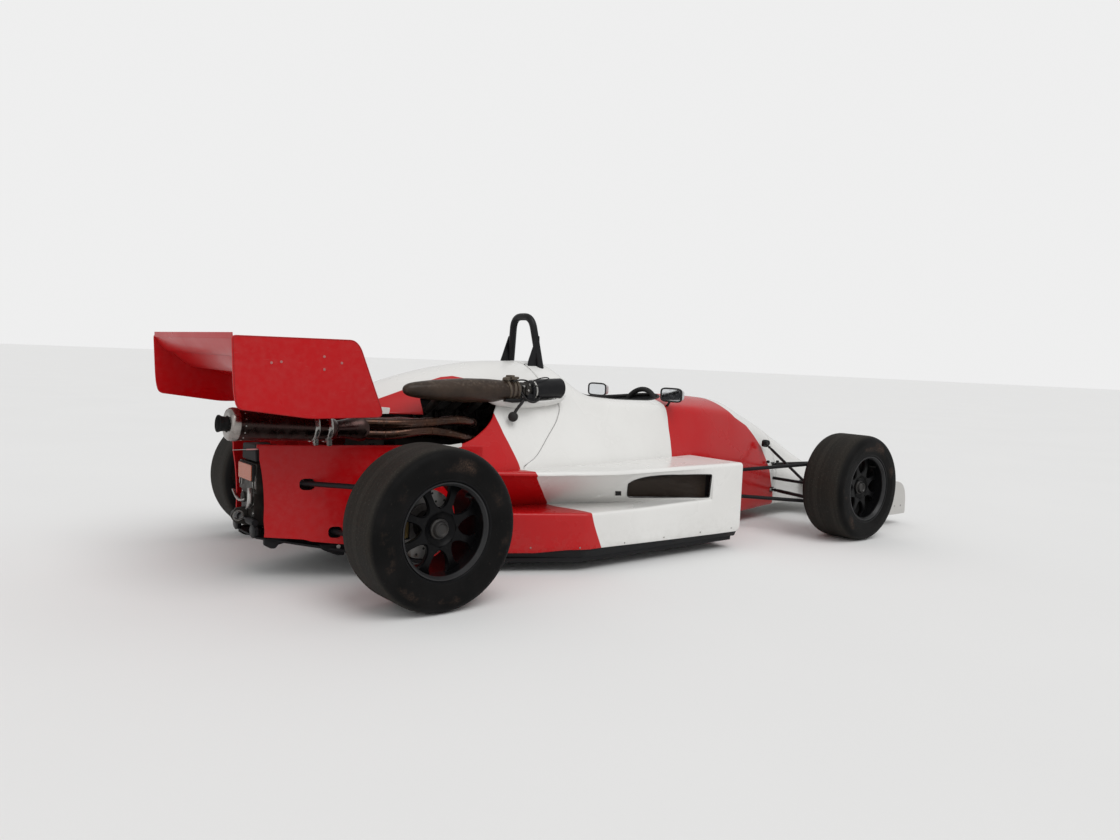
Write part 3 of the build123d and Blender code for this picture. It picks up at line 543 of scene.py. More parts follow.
def tube(path, radius, sides=16, closed=False, flat=1.0):
    # Rings square to a path: p + r * (side * cos + up * sin), with the side turned level. A radius may
    # be one for each point, and flat squeezes the rings' height.
    p = np.array(path, float)
    ahead = np.roll(p, -1, 0) - np.roll(p, 1, 0) if closed else np.gradient(p, axis=0)
    ahead /= np.linalg.norm(ahead, axis=1)[:, None]
    guide = np.array([0.0, 0.0, 1.0]) if np.abs(ahead[:, 2]).max() < 0.93 else np.array([0.0, 1.0, 0.0])
    if np.abs(ahead @ guide).max() > 0.97:
        guide = np.array([1.0, 0.0, 0.0])
    side = np.cross(guide, ahead)
    side /= np.linalg.norm(side, axis=1)[:, None]
    up = np.cross(ahead, side)
    r = np.broadcast_to(np.array(radius, float), len(p))[:, None, None]
    angle = around(sides)[None, :, None]
    rings = p[:, None] + r * (side[:, None] * np.cos(angle) + flat * up[:, None] * np.sin(angle))
    if not closed:
        first, last = (np.repeat(p[None, k:k + 1], sides, 1) for k in (0, len(p) - 1))
        rings = np.concatenate([first, rings, last])
    return grid(rings, roundRows=closed, roundCols=True)


def curve(a, c, b, t):
    # The quadratic curve from a to b drawn towards c: a(1-t)^2 + 2c t(1-t) + b t^2.
    return a * (1 - t) ** 2 + 2 * c * t * (1 - t) + b * t ** 2


def roundedOutline(points, radius, steps=5):
    # Each corner of a closed outline becomes a curve between two points a radius away from it.
    p = np.array(points, float)
    r = np.broadcast_to(np.array(radius, float), len(p))[:, None]

    def away(towards):
        span = np.linalg.norm(towards - p, axis=1)[:, None]
        return (p + (towards - p) / span * np.minimum(r, span * 0.49))[:, None]

    t = np.linspace(0, 1, steps)[None, :, None]
    return curve(away(np.roll(p, 1, 0)), p[:, None], away(np.roll(p, -1, 0)), t).reshape(-1, 2)


def box(first, second, radius=0.0):
    # A rectangle's outline from its two spans, with its corners rounded.
    (a, b), (c, d) = first, second
    corners = [(a, c), (b, c), (b, d), (a, d)]
    return roundedOutline(corners, radius) if radius else corners


def plate(outline, low, high, across="y"):
    # A flat outline given a thickness. across names the axis that it is thick along; the outline's
    # two numbers are the other two axes in order.
    o = np.array(outline, float)
    n = len(o)
    place = {"x": lambda v: asPoints(v, o[:, 0], o[:, 1]), "y": lambda v: asPoints(o[:, 0], v, o[:, 1]),
             "z": lambda v: asPoints(o[:, 0], o[:, 1], v)}[across]
    faces = [[i, (i + 1) % n, n + (i + 1) % n, n + i] for i in range(n)]
    return np.concatenate([place(low), place(high)]), faces + [list(range(n))[::-1], list(range(n, 2 * n))]


def pillow(centre, size, power=4.0, rings=28):
    # A rounded block: each axis is size/2 * sign(c) |c|^(2/power) of a sphere's own coordinates.
    a = np.linspace(-np.pi / 2, np.pi / 2, rings)[:, None]
    b = np.linspace(-np.pi, np.pi, 2 * rings, endpoint=False)[None, :]
    c, s, d, e = (soft(v, 2 / power) for v in (np.cos(a), np.sin(a), np.cos(b), np.sin(b)))
    return grid(np.array(centre) + asPoints(c * d, c * e, s) * np.array(size) / 2, roundCols=True)


def boltHeads(centres, direction, radius, height, slots=6):
    # Hexagon heads with a chamfer, all facing one way.
    rows = [(-height, radius), (0, radius), (height * 0.35, radius * 0.86)]
    return joined([knob(c, direction, rows, slots) for c in centres])


def smoothTable(x, stations, values):
    # Monotone cubic between a table's rows: each row's slope is the harmonic mean of its neighbours'
    # slopes, or nought at a peak, and the runs between are Hermite cubics.
    s, v = np.array(stations, float), np.array(values, float)
    gap = np.diff(s)
    slope = np.diff(v, axis=0) / (gap[:, None] if v.ndim > 1 else gap)
    before, after = slope[:-1], slope[1:]
    same = before * after > 0
    mean = np.where(same, 2 * before * after / np.where(same, before + after, 1), 0)
    tangent = np.concatenate([slope[:1], mean, slope[-1:]])
    x = np.clip(np.array(x, float), s[0], s[-1])
    k = np.clip(np.searchsorted(s, x, side="right") - 1, 0, len(s) - 2)
    t = (x - s[k]) / gap[k]
    g = gap[k]
    if v.ndim > 1:
        t, g = t[..., None], g[..., None]
    return ((2 * t ** 3 - 3 * t ** 2 + 1) * v[k] + (t ** 3 - 2 * t ** 2 + t) * g * tangent[k]
            + (3 * t ** 2 - 2 * t ** 3) * v[k + 1] + (t ** 3 - t ** 2) * g * tangent[k + 1])


def insideBy(x, z, outline):
    # Distance from points to a closed side-view outline, above nought inside it.
    a = np.array(outline, float)
    b = np.roll(a, -1, 0)
    px, pz = x.reshape(-1, 1), z.reshape(-1, 1)
    dx, dz = b[:, 0] - a[:, 0], b[:, 1] - a[:, 1]
    t = np.clip(((px - a[:, 0]) * dx + (pz - a[:, 1]) * dz) / (dx * dx + dz * dz), 0, 1)
    away = np.sqrt((px - a[:, 0] - t * dx) ** 2 + (pz - a[:, 1] - t * dz) ** 2).min(1)
    crosses = (a[:, 1] > pz) != (b[:, 1] > pz)
    where = a[:, 0] + (pz - a[:, 1]) * dx / np.where(dz == 0, 1, dz)
    inside = (crosses & (px < where)).sum(1) % 2 == 1
    return np.where(inside, away, -away).reshape(x.shape)


def addPiece(name, shape, finish, body="chassis", stands=(), slot=None, wall=0.0, bevel=0.0,
             weld=True, paint=None, outward=True, sharp=38):
    points, faces = shape
    mesh = bpy.data.meshes.new(name)
    mesh.from_pydata((points - np.array([rearAxle, 0, 0])).tolist(), [], faces)
    if paint is not None:
        values = mesh.attributes.new("paint", "FLOAT", "POINT").data
        values.foreach_set("value", np.array(paint, np.float32).ravel())
    net = bmesh.new()
    net.from_mesh(mesh)
    if weld:
        bmesh.ops.remove_doubles(net, verts=net.verts, dist=0.00002)
        bmesh.ops.dissolve_degenerate(net, edges=net.edges, dist=0.00001)
    if outward:
        bmesh.ops.recalc_face_normals(net, faces=net.faces)
    net.to_mesh(mesh)
    net.free()
    mesh.validate()
    mesh.shade_smooth()
    mesh.set_sharp_from_angle(angle=math.radians(sharp))
    mesh.materials.append(finishes[finish])
    piece = bpy.data.objects.new(name, mesh)
    bpy.context.scene.collection.objects.link(piece)
    if wall:
        thick = piece.modifiers.new("wall", "SOLIDIFY")
        thick.thickness, thick.offset = wall, -1
    if bevel:
        edge = piece.modifiers.new("edge", "BEVEL")
        edge.width, edge.segments, edge.limit_method = bevel, 2, "ANGLE"
        edge.angle_limit = math.radians(40)
    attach(piece, body)
    if stands:
        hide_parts(*stands)
    return piece


def dressNode(name, finish):
    # A solid that stays takes a finish.
    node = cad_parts[name]
    node.data.materials.clear()
    node.data.materials.append(finishes[finish])


# Hull

# station, bottom half, bottom z, belt half, belt z, shoulder half, shoulder z, crown z
hullRows = np.array([
    (-0.12, 0.2, 0.2, 0.25, 0.522, 0.09, 0.628, 0.658),
    (0.27, 0.3, 0.06, 0.37, 0.522, 0.17, 0.73, 0.787),
    (0.44, 0.33, 0.06, 0.45, 0.42, 0.215, 0.742, 0.825),
    (0.69, 0.33, 0.06, 0.44, 0.42, 0.245, 0.735, 0.856),
    (0.93, 0.33, 0.06, 0.425, 0.42, 0.255, 0.72, 0.861),
    (1.18, 0.32, 0.06, 0.395, 0.42, 0.262, 0.69, 0.716),
    (1.78, 0.25, 0.06, 0.3, 0.4, 0.232, 0.655, 0.712),
    (2.18, 0.215, 0.06, 0.245, 0.37, 0.185, 0.62, 0.69),
    (2.41, 0.19, 0.07, 0.213, 0.325, 0.158, 0.53, 0.612),
    (2.64, 0.165, 0.08, 0.18, 0.28, 0.13, 0.436, 0.518),
    (3.0, 0.145, 0.085, 0.152, 0.2, 0.108, 0.29, 0.344),
    (3.34, 0.105, 0.092, 0.106, 0.14, 0.08, 0.18, 0.205),
    (3.412, 0.07, 0.108, 0.07, 0.125, 0.055, 0.145, 0.152),
])
hull = {
    "steps": 24,          # points on each of a section's four runs
    "softness": 1.7,      # how far its corners are rounded, in points
    "seam": [(0.06, 0.6), (0.42, 0.6), (0.464, 0.68), (0.538, 0.774), (0.62, 0.868), (0.668, 0.896),
             (0.702, 0.89), (0.762, 0.84), (1.1, 0.836)],     # height, station
    "cockpit": (1.065, 1.76, 0.205),
    "noseSplit": 2.64,
}
beltPoint = 2 * hull["steps"]
crownPoint = 4 * hull["steps"]


def hullSection(x):
    # The right half of the hull's outline at stations x, from the bottom's middle to the crown. Runs go
    # to the bottom corner, the belt and the shoulder, then an arc of sagitta crown - shoulder. Corners
    # are rounded by a bell-weighted mean of neighbours, mirrored at both ends.
    row = smoothTable(x, hullRows[:, 0], hullRows[:, 1:])
    bottom, low, belt, middle, shoulder, high, crown = np.moveaxis(row, -1, 0)
    n = hull["steps"]
    t = np.linspace(0, 1, n, endpoint=False)
    run = lambda a, b: a[..., None] + (b - a)[..., None] * t
    sag = np.maximum(crown - high, 1e-4)
    radius = (shoulder ** 2 + sag ** 2) / (2 * sag)
    turn = np.arcsin(np.clip(shoulder / radius, -1, 1))
    angle = turn[..., None] * (1 - np.linspace(0, 1, n + 1))
    y = np.concatenate([run(bottom * 0, bottom), run(bottom, belt), run(belt, shoulder),
                        radius[..., None] * np.sin(angle)], -1)
    z = np.concatenate([run(low, low), run(low, middle), run(middle, high),
                        (crown - radius)[..., None] + radius[..., None] * np.cos(angle)], -1)
    reach = 6
    weight = np.exp(-0.5 * (np.arange(-reach, reach + 1) / hull["softness"]) ** 2)
    weight /= weight.sum()
    yLong = np.concatenate([-y[..., reach:0:-1], y, -y[..., -2:-reach - 2:-1]], -1)
    zLong = np.concatenate([z[..., reach:0:-1], z, z[..., -2:-reach - 2:-1]], -1)
    count = y.shape[-1]
    y = sum(w * yLong[..., k:k + count] for k, w in enumerate(weight))
    z = sum(w * zLong[..., k:k + count] for k, w in enumerate(weight))
    return -y, z


def sectionAt(x, u):
    # The hull's own y and z at station x and section point u, by straight steps between points.
    y, z = hullSection(x)
    k = np.clip(np.floor(u).astype(int), 0, crownPoint - 1)
    share = u - k
    take = lambda v, i: np.take_along_axis(v, i[..., None], -1)[..., 0]
    return tuple(take(v, k) * (1 - share) + take(v, k + 1) * share for v in (y, z))


def pointAtHeight(x, height):
    # The section point where the flank above the belt comes up to a height.
    _, z = hullSection(x)
    z = z[..., beltPoint // 2:]
    above = z >= np.array(height)[..., None]
    k = np.maximum(above.argmax(-1), 1)
    take = lambda i: np.take_along_axis(z, i[..., None], -1)[..., 0]
    share = (height - take(k - 1)) / np.maximum(take(k) - take(k - 1), 1e-9)
    return np.where(above.any(-1), k - 1 + np.clip(share, 0, 1) + beltPoint // 2, crownPoint)


def pointAtHalf(x, half):
    # The section point on the top where the width comes in to a half width.
    y, _ = hullSection(x)
    y = -y[..., beltPoint:]
    within = y <= np.array(half)[..., None]
    k = np.maximum(within.argmax(-1), 1)
    take = lambda i: np.take_along_axis(y, i[..., None], -1)[..., 0]
    share = (take(k - 1) - half) / np.maximum(take(k - 1) - take(k), 1e-9)
    return k - 1 + np.clip(share, 0, 1) + beltPoint


def seamStation(z):
    # Station of the hull's seam at a height.
    heights, stations = np.array(hull["seam"]).T
    return smoothTable(z, heights, stations)


def cockpitHalf(x):
    # Half width of the cockpit's mouth: squarish behind, drawn in towards the dash.
    rear, front, half = hull["cockpit"]
    t = np.clip((x - rear) / (front - rear), 0, 1)
    ends = (1 - np.abs(2 * t - 1) ** 3.4) ** (1 / 2.2)
    return half * ends * np.interp(t, [0, 0.35, 0.7, 1], [0.96, 1.0, 0.92, 0.72])


def slid(x, u, first, fadeFrom, fadeTo, gap=0.0):
    # Moves a net's first column of stations to the seam, less with distance: x + (seam - first) * fade.
    edge = np.full_like(u[0], first)
    for _ in range(8):
        _, z = sectionAt(edge, u[0])
        edge = seamStation(z) + gap
    fade = np.clip((x - fadeTo) / (fadeFrom - fadeTo), 0, 1)
    return x + (edge - first) * fade


def skinNet(stations, low, high, count, seam=None):
    # A net on the right half of the hull: stations by shares between two section points.
    share = np.linspace(0, 1, count)
    u = low[:, None] + (high - low)[:, None] * share
    x = np.broadcast_to(stations[:, None], u.shape).copy()
    if seam:
        rows = (x, u, *seam)
        x = slid(*rows) if seam[0] == stations[0] else slid(x[::-1], u[::-1], *seam)[::-1]
    y, z = sectionAt(x, u)
    return np.stack([x, y, z], -1)


def paintOf(points, outline):
    # How far each point lies inside an outline in side view.
    return insideBy(points[..., 0], points[..., 2], outline)


# Red areas in side view, as station and height
redAreas = {
    "cover": [(-0.6, 0.05), (0.66, 0.05), (0.58, 0.425), (0.564, 0.496), (0.557, 0.527), (0.549, 0.557),
              (0.544, 0.591), (0.538, 0.62), (0.526, 0.69), (0.505, 0.752), (0.47, 0.778), (0.421, 0.787),
              (0.371, 0.781), (0.28, 0.755), (0.196, 0.727), (0.099, 0.693), (0.0, 0.658), (-0.13, 0.61),
              (-0.6, 0.5)],
    "tub": [(1.585, 0.0), (1.596, 0.413), (1.602, 0.457), (1.608, 0.5), (1.611, 0.559), (1.618, 0.608),
            (1.622, 0.8), (2.08, 0.8), (2.13, 0.69), (2.18, 0.64), (2.24, 0.596), (2.363, 0.547),
            (2.431, 0.494), (2.506, 0.422), (2.545, 0.341), (2.597, 0.22), (2.632, 0.151), (2.66, 0.0)],
}


pod = {
    # station, half width, how far the top's edge stands in, the flank's foot, the ledge's height
    "plan": [
        (0.395, 0.4275, 0.0, 0.3, 0.252), (0.62, 0.5505, 0.004, 0.356, 0.252),
        (0.69, 0.5885, 0.02, 0.368, 0.252), (0.74, 0.616, 0.036, 0.376, 0.252),
        (0.8, 0.642, 0.037, 0.385, 0.252), (0.86, 0.6455, 0.023, 0.405, 0.252),
        (0.98, 0.6455, 0.0, 0.452, 0.252), (1.142, 0.6455, 0.0, 0.503, 0.253),
        (1.294, 0.6455, 0.0, 0.545, 0.257), (1.42, 0.6455, 0.0, 0.583, 0.259),
        (1.548, 0.6455, 0.0, 0.634, 0.261), (1.76, 0.6455, 0.0, 0.6455, 0.261),
    ],
    "top": 0.42, "lip": 0.404, "recessFront": 1.549,
    # the painted side's lower edge, as station and height
    "lowEdge": [(0.4, 0.085), (0.6, 0.085), (0.72, 0.098), (0.87, 0.1), (1.09, 0.096), (1.35, 0.092),
                (1.6, 0.089), (1.76, 0.088)],
    "window": (1.0815, 1.543),
    # the line between red behind and white ahead: by width on the top and ledge, by height on the faces
    "paint": {
        "top": [(0.46, 0.574), (0.474, 0.586), (0.498, 0.589), (0.518, 0.595)],
        "flank": [(0.252, 0.775), (0.263, 0.766), (0.286, 0.734), (0.315, 0.699), (0.342, 0.665),
                  (0.368, 0.634), (0.393, 0.608), (0.412, 0.597)],
        "ledge": [(0.385, 0.77), (0.425, 0.77), (0.47, 0.778), (0.517, 0.795), (0.594, 0.812), (0.64, 0.813)],
        "side": [(0.06, 0.886), (0.1, 0.868), (0.162, 0.84), (0.206, 0.822), (0.24, 0.812), (0.25, 0.813)],
    },
    # a crease runs down the flank from the window's upper rear corner, as height and station
    "crease": [(0.286, 0.937), (0.296, 0.973), (0.306, 0.993), (0.326, 1.011), (0.361, 1.042), (0.39, 1.062)],
    "creaseHeight": 0.0075,
}


def podPlan(x):
    # At a station: half width, how far the top stands in, the flank's foot, the ledge's height.
    rows = np.array(pod["plan"])
    return np.moveaxis(smoothTable(x, rows[:, 0], rows[:, 1:]), -1, 0)


def podHalf(x):
    # Half width of the pod at a station.
    return podPlan(x)[0]


def hullSide(x, z):
    # Half width of the hull's flank at a height up to the belt.
    row = smoothTable(x, hullRows[:, 0], hullRows[:, 1:])
    bottom, low, belt, middle = row[..., 0], row[..., 1], row[..., 2], row[..., 3]
    return bottom + (belt - bottom) * np.clip((z - low) / (middle - low), 0, 1)


def podStation(u, z):
    # Rows lean back with height round the window's rear edge, by 0.8 times the height and a bell of
    # cosines along the car, and stand upright elsewhere.
    bell = np.clip((u - 0.86) / 0.16, 0, 1) * np.clip((1.34 - u) / 0.2, 0, 1)
    return u - 0.8 * (np.clip(z, 0.252, 0.404) - 0.322) * (0.5 - 0.5 * np.cos(np.pi * bell))


def podFlank(x, z):
    # Half width of the leaning flank above the ledge: straight between its foot and the top edge, with
    # a soft step at the crease. It runs out into the upright side ahead of the recess.
    half, inset, foot, ledge = podPlan(x)
    under = 0.006 * np.clip((1.5 - x) / 0.3, 0, 1)
    lean = foot + (half - inset - under - foot) * np.clip((z - ledge) / (pod["lip"] - ledge), 0, 1)
    heights, stations = np.array(pod["crease"]).T
    step = np.clip((x - np.interp(z, heights, stations)) / 0.014, 0, 1)
    step = step * step * (3 - 2 * step) * np.clip((1.24 - x) / 0.14, 0, 1)
    step *= np.clip((z - 0.262) / 0.022, 0, 1) * np.clip((0.392 - z) / 0.022, 0, 1)
    ahead = np.clip((x - pod["recessFront"]) / 0.004, 0, 1)
    return (lean + pod["creaseHeight"] * step) * (1 - ahead) + half * ahead


def insidePod(net):
    # The hull's skin keeps 12 mm inside the pods' leaning flanks: |y| is at most that half width.
    x, y, z = np.moveaxis(net, -1, 0)
    limit = np.where((z < pod["lip"]) & (x > 0.42) & (x < 1.5), podFlank(x, np.maximum(z, 0.253)) - 0.012, 9)
    net[..., 1] = np.clip(y, -limit, limit)
    return net


def buildTub():
    # The hull's skin from the keel up to the cockpit's mouth, and to the crown outside it.
    rear, front, _ = hull["cockpit"]
    bend = 0.5 - 0.5 * np.cos(np.linspace(0, np.pi, 74))
    stations = np.concatenate([np.linspace(0.836, rear, 26)[:-1], rear + (front - rear) * bend,
                               np.linspace(front, hull["noseSplit"], 62)[1:]])
    top = pointAtHalf(stations, cockpitHalf(stations))
    top = np.where(cockpitHalf(stations) <= 1e-6, crownPoint, top)
    net = insidePod(skinNet(stations, stations * 0, top.astype(float), 92, (0.836, 0.836, 1.05)))
    shape = grid(net)
    paint = paintOf(net, redAreas["tub"]).ravel()
    addPiece("tubSkin", bothSides(shape), "body", stands=["monocoque"], slot="body_white", wall=0.006,
             paint=np.tile(paint, 2), outward=False)
    return stations, net


tubStations, tubNet = buildTub()


def buildNose():
    # The nose closes over its tip: the last sections shrink about their middle as sqrt(1 - t^2).
    split = hull["noseSplit"]
    stations = np.concatenate([np.linspace(split + 0.003, 3.366, 60),
                               3.366 + 0.046 * np.sin(np.linspace(0, np.pi / 2, 14)[1:])])
    net = skinNet(stations, stations * 0, stations * 0 + crownPoint, 92)
    shrink = np.sqrt(np.clip(1 - ((stations - 3.366) / 0.046).clip(0, 1) ** 2, 0, 1))[:, None]
    net[..., 1] *= shrink
    net[..., 2] = 0.128 + (net[..., 2] - 0.128) * shrink
    addPiece("noseSkin", bothSides(grid(net)), "body", stands=["nose_cone"], slot="body_white", wall=0.005,
             paint=np.full(net.shape[0] * net.shape[1] * 2, -1.0), outward=False)


buildNose()


def coverTopEdge(x):
    # Upper edge of the side opening: low behind, then a short step up to the intake.
    t = np.clip((x - 0.226) / 0.016, 0, 1)
    return 0.634 + 0.064 * t * t * (3 - 2 * t)


def coverLowEdge(x):
    # Lower edge of the side opening, which rises towards the front.
    return smoothTable(x, [0.25, 0.375, 0.455, 0.515, 0.545, 0.585, 0.7],
                       [0.505, 0.535, 0.573, 0.617, 0.655, 0.698, 0.6981])


def buildCover():
    # On the left one net runs from the belt to the crown. On the right an upper and a lower net leave
    # the opening between them.
    seam = (0.833, 0.833, 0.6, -0.003)
    stations = np.concatenate([np.linspace(-0.12, 0.224, 41), np.linspace(0.224, 0.25, 9)[1:],
                               np.linspace(0.25, 0.585, 48)[1:], np.linspace(0.585, 0.833, 34)[1:]])
    foot = np.full_like(stations, beltPoint - 2.0)
    crown = np.full_like(stations, crownPoint)
    left = insidePod(skinNet(stations, foot, crown, 60, seam))
    edge = pointAtHeight(stations, coverTopEdge(stations))
    upper = skinNet(stations, edge, crown, 44, seam)
    ahead = stations[stations >= 0.249]
    middle = pointAtHeight(ahead, np.where(ahead < 0.585, coverLowEdge(ahead), 0.698))
    lower = insidePod(skinNet(ahead, np.full_like(ahead, beltPoint - 2.0), middle, 26, seam))
    nets = [left * np.array([1, -1, 1]), upper, lower]
    shapes = [otherSide(grid(left)), grid(upper), grid(lower)]
    paint = np.concatenate([paintOf(n, redAreas["cover"]).ravel() for n in nets])
    addPiece("engineCover", joined(shapes), "body", stands=["engine_cover"], slot="body_white", wall=0.005,
             paint=paint, outward=False)
    return upper, lower


coverUpper, coverLower = buildCover()
print("hull skins made")

# Cockpit: a lining inside the mouth, a rubber edge round it and the dash


def mouthRim():
    # The mouth's own edge, where the skin ends, as one closed loop round the cockpit.
    rear, front, _ = hull["cockpit"]
    inside = (tubStations >= rear - 1e-9) & (tubStations <= front + 1e-9)
    right = tubNet[inside, -1]
    return np.concatenate([right, (right * np.array([1, -1, 1]))[-2:0:-1]])


def buildCockpit():
    # A rubber edge round the mouth, the lining below it, and the dash.
    rim = mouthRim()
    addPiece("cockpitEdge", tube(rim + np.array([0, 0, 0.001]), 0.0085, 12, closed=True), "rubber")
    # The lining hangs from the rim and draws in with depth t, bowed out by 18 mm * sin(pi t).
    x, y, z = rim.T
    t = np.linspace(0, 1, 16)[:, None]
    half = np.sign(y) * np.minimum(np.abs(y) * (1 - 0.1 * t) + 0.018 * np.sin(np.pi * t), 0.2)
    net = asPoints(1.43 + (x - 1.43) * (1 - 0.03 * t), half, z * (1 - t) + 0.2 * t)
    addPiece("cockpitLining", grid(net, roundCols=True), "liner", wall=0.003, outward=False)
    # The dash is a curved shelf from the mouth's front end, drooping to a hooded panel.
    x, y = np.meshgrid(np.linspace(1.7, 1.8, 16), np.linspace(-0.185, 0.185, 40), indexing="ij")
    shelf = asPoints(x, y, 0.655 - 0.35 * y ** 2 - 7 * (1.8 - x) ** 2)
    addPiece("dashShelf", grid(shelf), "liner", wall=0.004)
    dial = lambda r: [(-0.012, r), (0.004, r), (0.006, r * 0.9), (0.002, r * 0.84)]
    dials = [knob((1.712, y, 0.618), (-1, 0, 0.15), dial(r), 36)
             for y, r in ((-0.075, 0.026), (0, 0.034), (0.075, 0.026))]
    addPiece("dashDials", joined(dials), "rim")


def buildSeat():
    # The seat is one moulded shell: its middle line runs from the headrest down the back and along the
    # pan, and its sides curl up as |s|^3.
    line = eased([(1.045, 0.64), (1.075, 0.52), (1.12, 0.33), (1.18, 0.2), (1.28, 0.142), (1.4, 0.142),
                  (1.5, 0.15)], 3)
    s = np.linspace(-1, 1, 44)
    step = np.gradient(line, axis=0)
    step /= np.linalg.norm(step, axis=1)[:, None]
    out = np.stack([-step[:, 1], step[:, 0]], 1)
    out *= np.sign(out[:, :1] + out[:, 1:])
    x, z = (line[:, k:k + 1] + out[:, k:k + 1] * 0.075 * np.abs(s) ** 3 for k in (0, 1))
    shell = grid(asPoints(x, 0.188 * np.sin(s * np.pi / 2 * 0.96), z))
    addPiece("seatShell", shell, "cloth", stands=["seat"], slot="seat_black", wall=0.01)
    pad = addPiece("headrestPad", pillow((1.064, 0, 0.7), (0.05, 0.186, 0.116), 3.0), "cloth")
    # The belts lie on the seat: a flat strap over each shoulder and one from each side.
    straps = []
    for side in (-1, 1):
        shoulder = [(1.075, 0.07, 0.63), (1.105, 0.072, 0.5), (1.15, 0.06, 0.33), (1.215, 0.03, 0.23)]
        for path in (shoulder, [(1.24, 0.17, 0.215), (1.235, 0.1, 0.2), (1.23, 0.03, 0.205)]):
            straps.append(tube(eased(np.array(path) * [1, side, 1], 3), 0.026, 12, flat=0.1))
    addPiece("seatBelts", joined(straps), "belt")
    buckle = knob((1.226, 0, 0.204), (-0.35, 0, 1), near(0, 0, [(0, 30), (16, 30), (20, 26)]), 32)
    addPiece("beltBuckle", buckle, "steel")


def buildWheelGrip():
    # The steering wheel: a flat-bottomed ring R(a) = R - drop below, held by three spokes on a boss, with
    # plain buttons, all square to the column.
    wheel = {"centre": (1.672, 0.0, 0.622), "tilt": 14, "radius": 0.122, "grip": 0.0135, "flat": 0.02}
    centre, tilt = np.array(wheel["centre"]), math.radians(wheel["tilt"])
    ahead = np.array([math.cos(tilt), 0, -math.sin(tilt)])
    axes = np.array([(0, 1, 0), (math.sin(tilt), 0, math.cos(tilt)), ahead])
    place = lambda side, up, on: centre + asPoints(side, up, on) @ axes
    a, b = around(120), around(18)[None, :, None]
    r = wheel["radius"] - wheel["flat"] * np.exp(-((a - 1.5 * np.pi) / 0.55) ** 4)
    ring = place(r * np.cos(a), r * np.sin(a), 0)
    thick = wheel["grip"] * (1 + 0.1 * np.exp(-((np.cos(a) ** 2 - 0.97) / 0.1) ** 2))
    outward = (ring - centre) / np.linalg.norm(ring - centre, axis=1)[:, None]
    rings = ring[:, None] + thick[:, None, None] * (outward[:, None] * np.cos(b) + ahead * np.sin(b))
    addPiece("steeringRing", grid(rings, True, True), "suede", "steering_column", stands=["steering_wheel"],
             slot="wheel_grip")
    spokes = []
    for angle, reach in ((0.08, 0.118), (math.pi - 0.08, 0.118), (1.5 * math.pi, 0.094)):
        # A spoke is two rows of points on either side of its middle line, given a thickness
        t = np.linspace(0.03, reach, 14)
        half = 0.015 + 0.012 * ((t - 0.074) / 0.044) ** 2
        on, across = np.array([np.cos(angle), np.sin(angle)]), np.array([-np.sin(angle), np.cos(angle)])
        along, across = t[:, None] * on, half[:, None] * across
        edge = np.concatenate([along + across, (along - across)[::-1]])
        n = len(edge)
        faces = [[i, (i + 1) % n, n + (i + 1) % n, n + i] for i in range(n)]
        faces += [[i, i + 1, n - 2 - i, n - 1 - i] for i in range(len(t) - 1)]
        faces += [[n + k for k in face][::-1] for face in faces[n:]]
        spokes.append((np.concatenate([place(*edge.T, v) for v in (-0.003, 0.003)]), faces))
    addPiece("steeringSpokes", joined(spokes), "alloy", "steering_column", bevel=0.001)
    boss = knob(centre + ahead * 0.018, -ahead, near(0, 0, [(0, 36), (18, 38), (24, 34)]), 40)
    shaft = knob(centre, ahead, near(0, 0, [(12, 18), (60, 18), (70, 11), (415, 11)]), 24)
    addPiece("steeringShaft", joined([boss, shaft]), "black", "steering_column")
    knobs = [knob(place(y, z, -0.004), -ahead, near(0, 0, [(0, 6), (5, 6), (7, 4.5)]))
             for y, z in ((0.052, 0.014), (-0.052, 0.014), (0.066, -0.006), (-0.066, -0.006), (0, -0.056))]
    addPiece("steeringKnobs", joined(knobs), "rubber", "steering_column")


buildCockpit()
buildSeat()
buildWheelGrip()
print("cockpit made")

# Sidepods


def windowHeights(u):
    # Lower and upper edges of the window's hole along its rows.
    u = np.clip(u, *pod["window"])
    low = smoothTable(u, [1.0815, 1.088, 1.0975, 1.204, 1.538, 1.5415, 1.543],
                      [0.29, 0.282, 0.279, 0.273, 0.2662, 0.268, 0.2715])
    high = smoothTable(u, [1.0815, 1.106, 1.1535, 1.1945, 1.2545, 1.344, 1.538, 1.5415, 1.543],
                       [0.352, 0.367, 0.378, 0.383, 0.385, 0.381, 0.3735, 0.3715, 0.368])
    return low, high


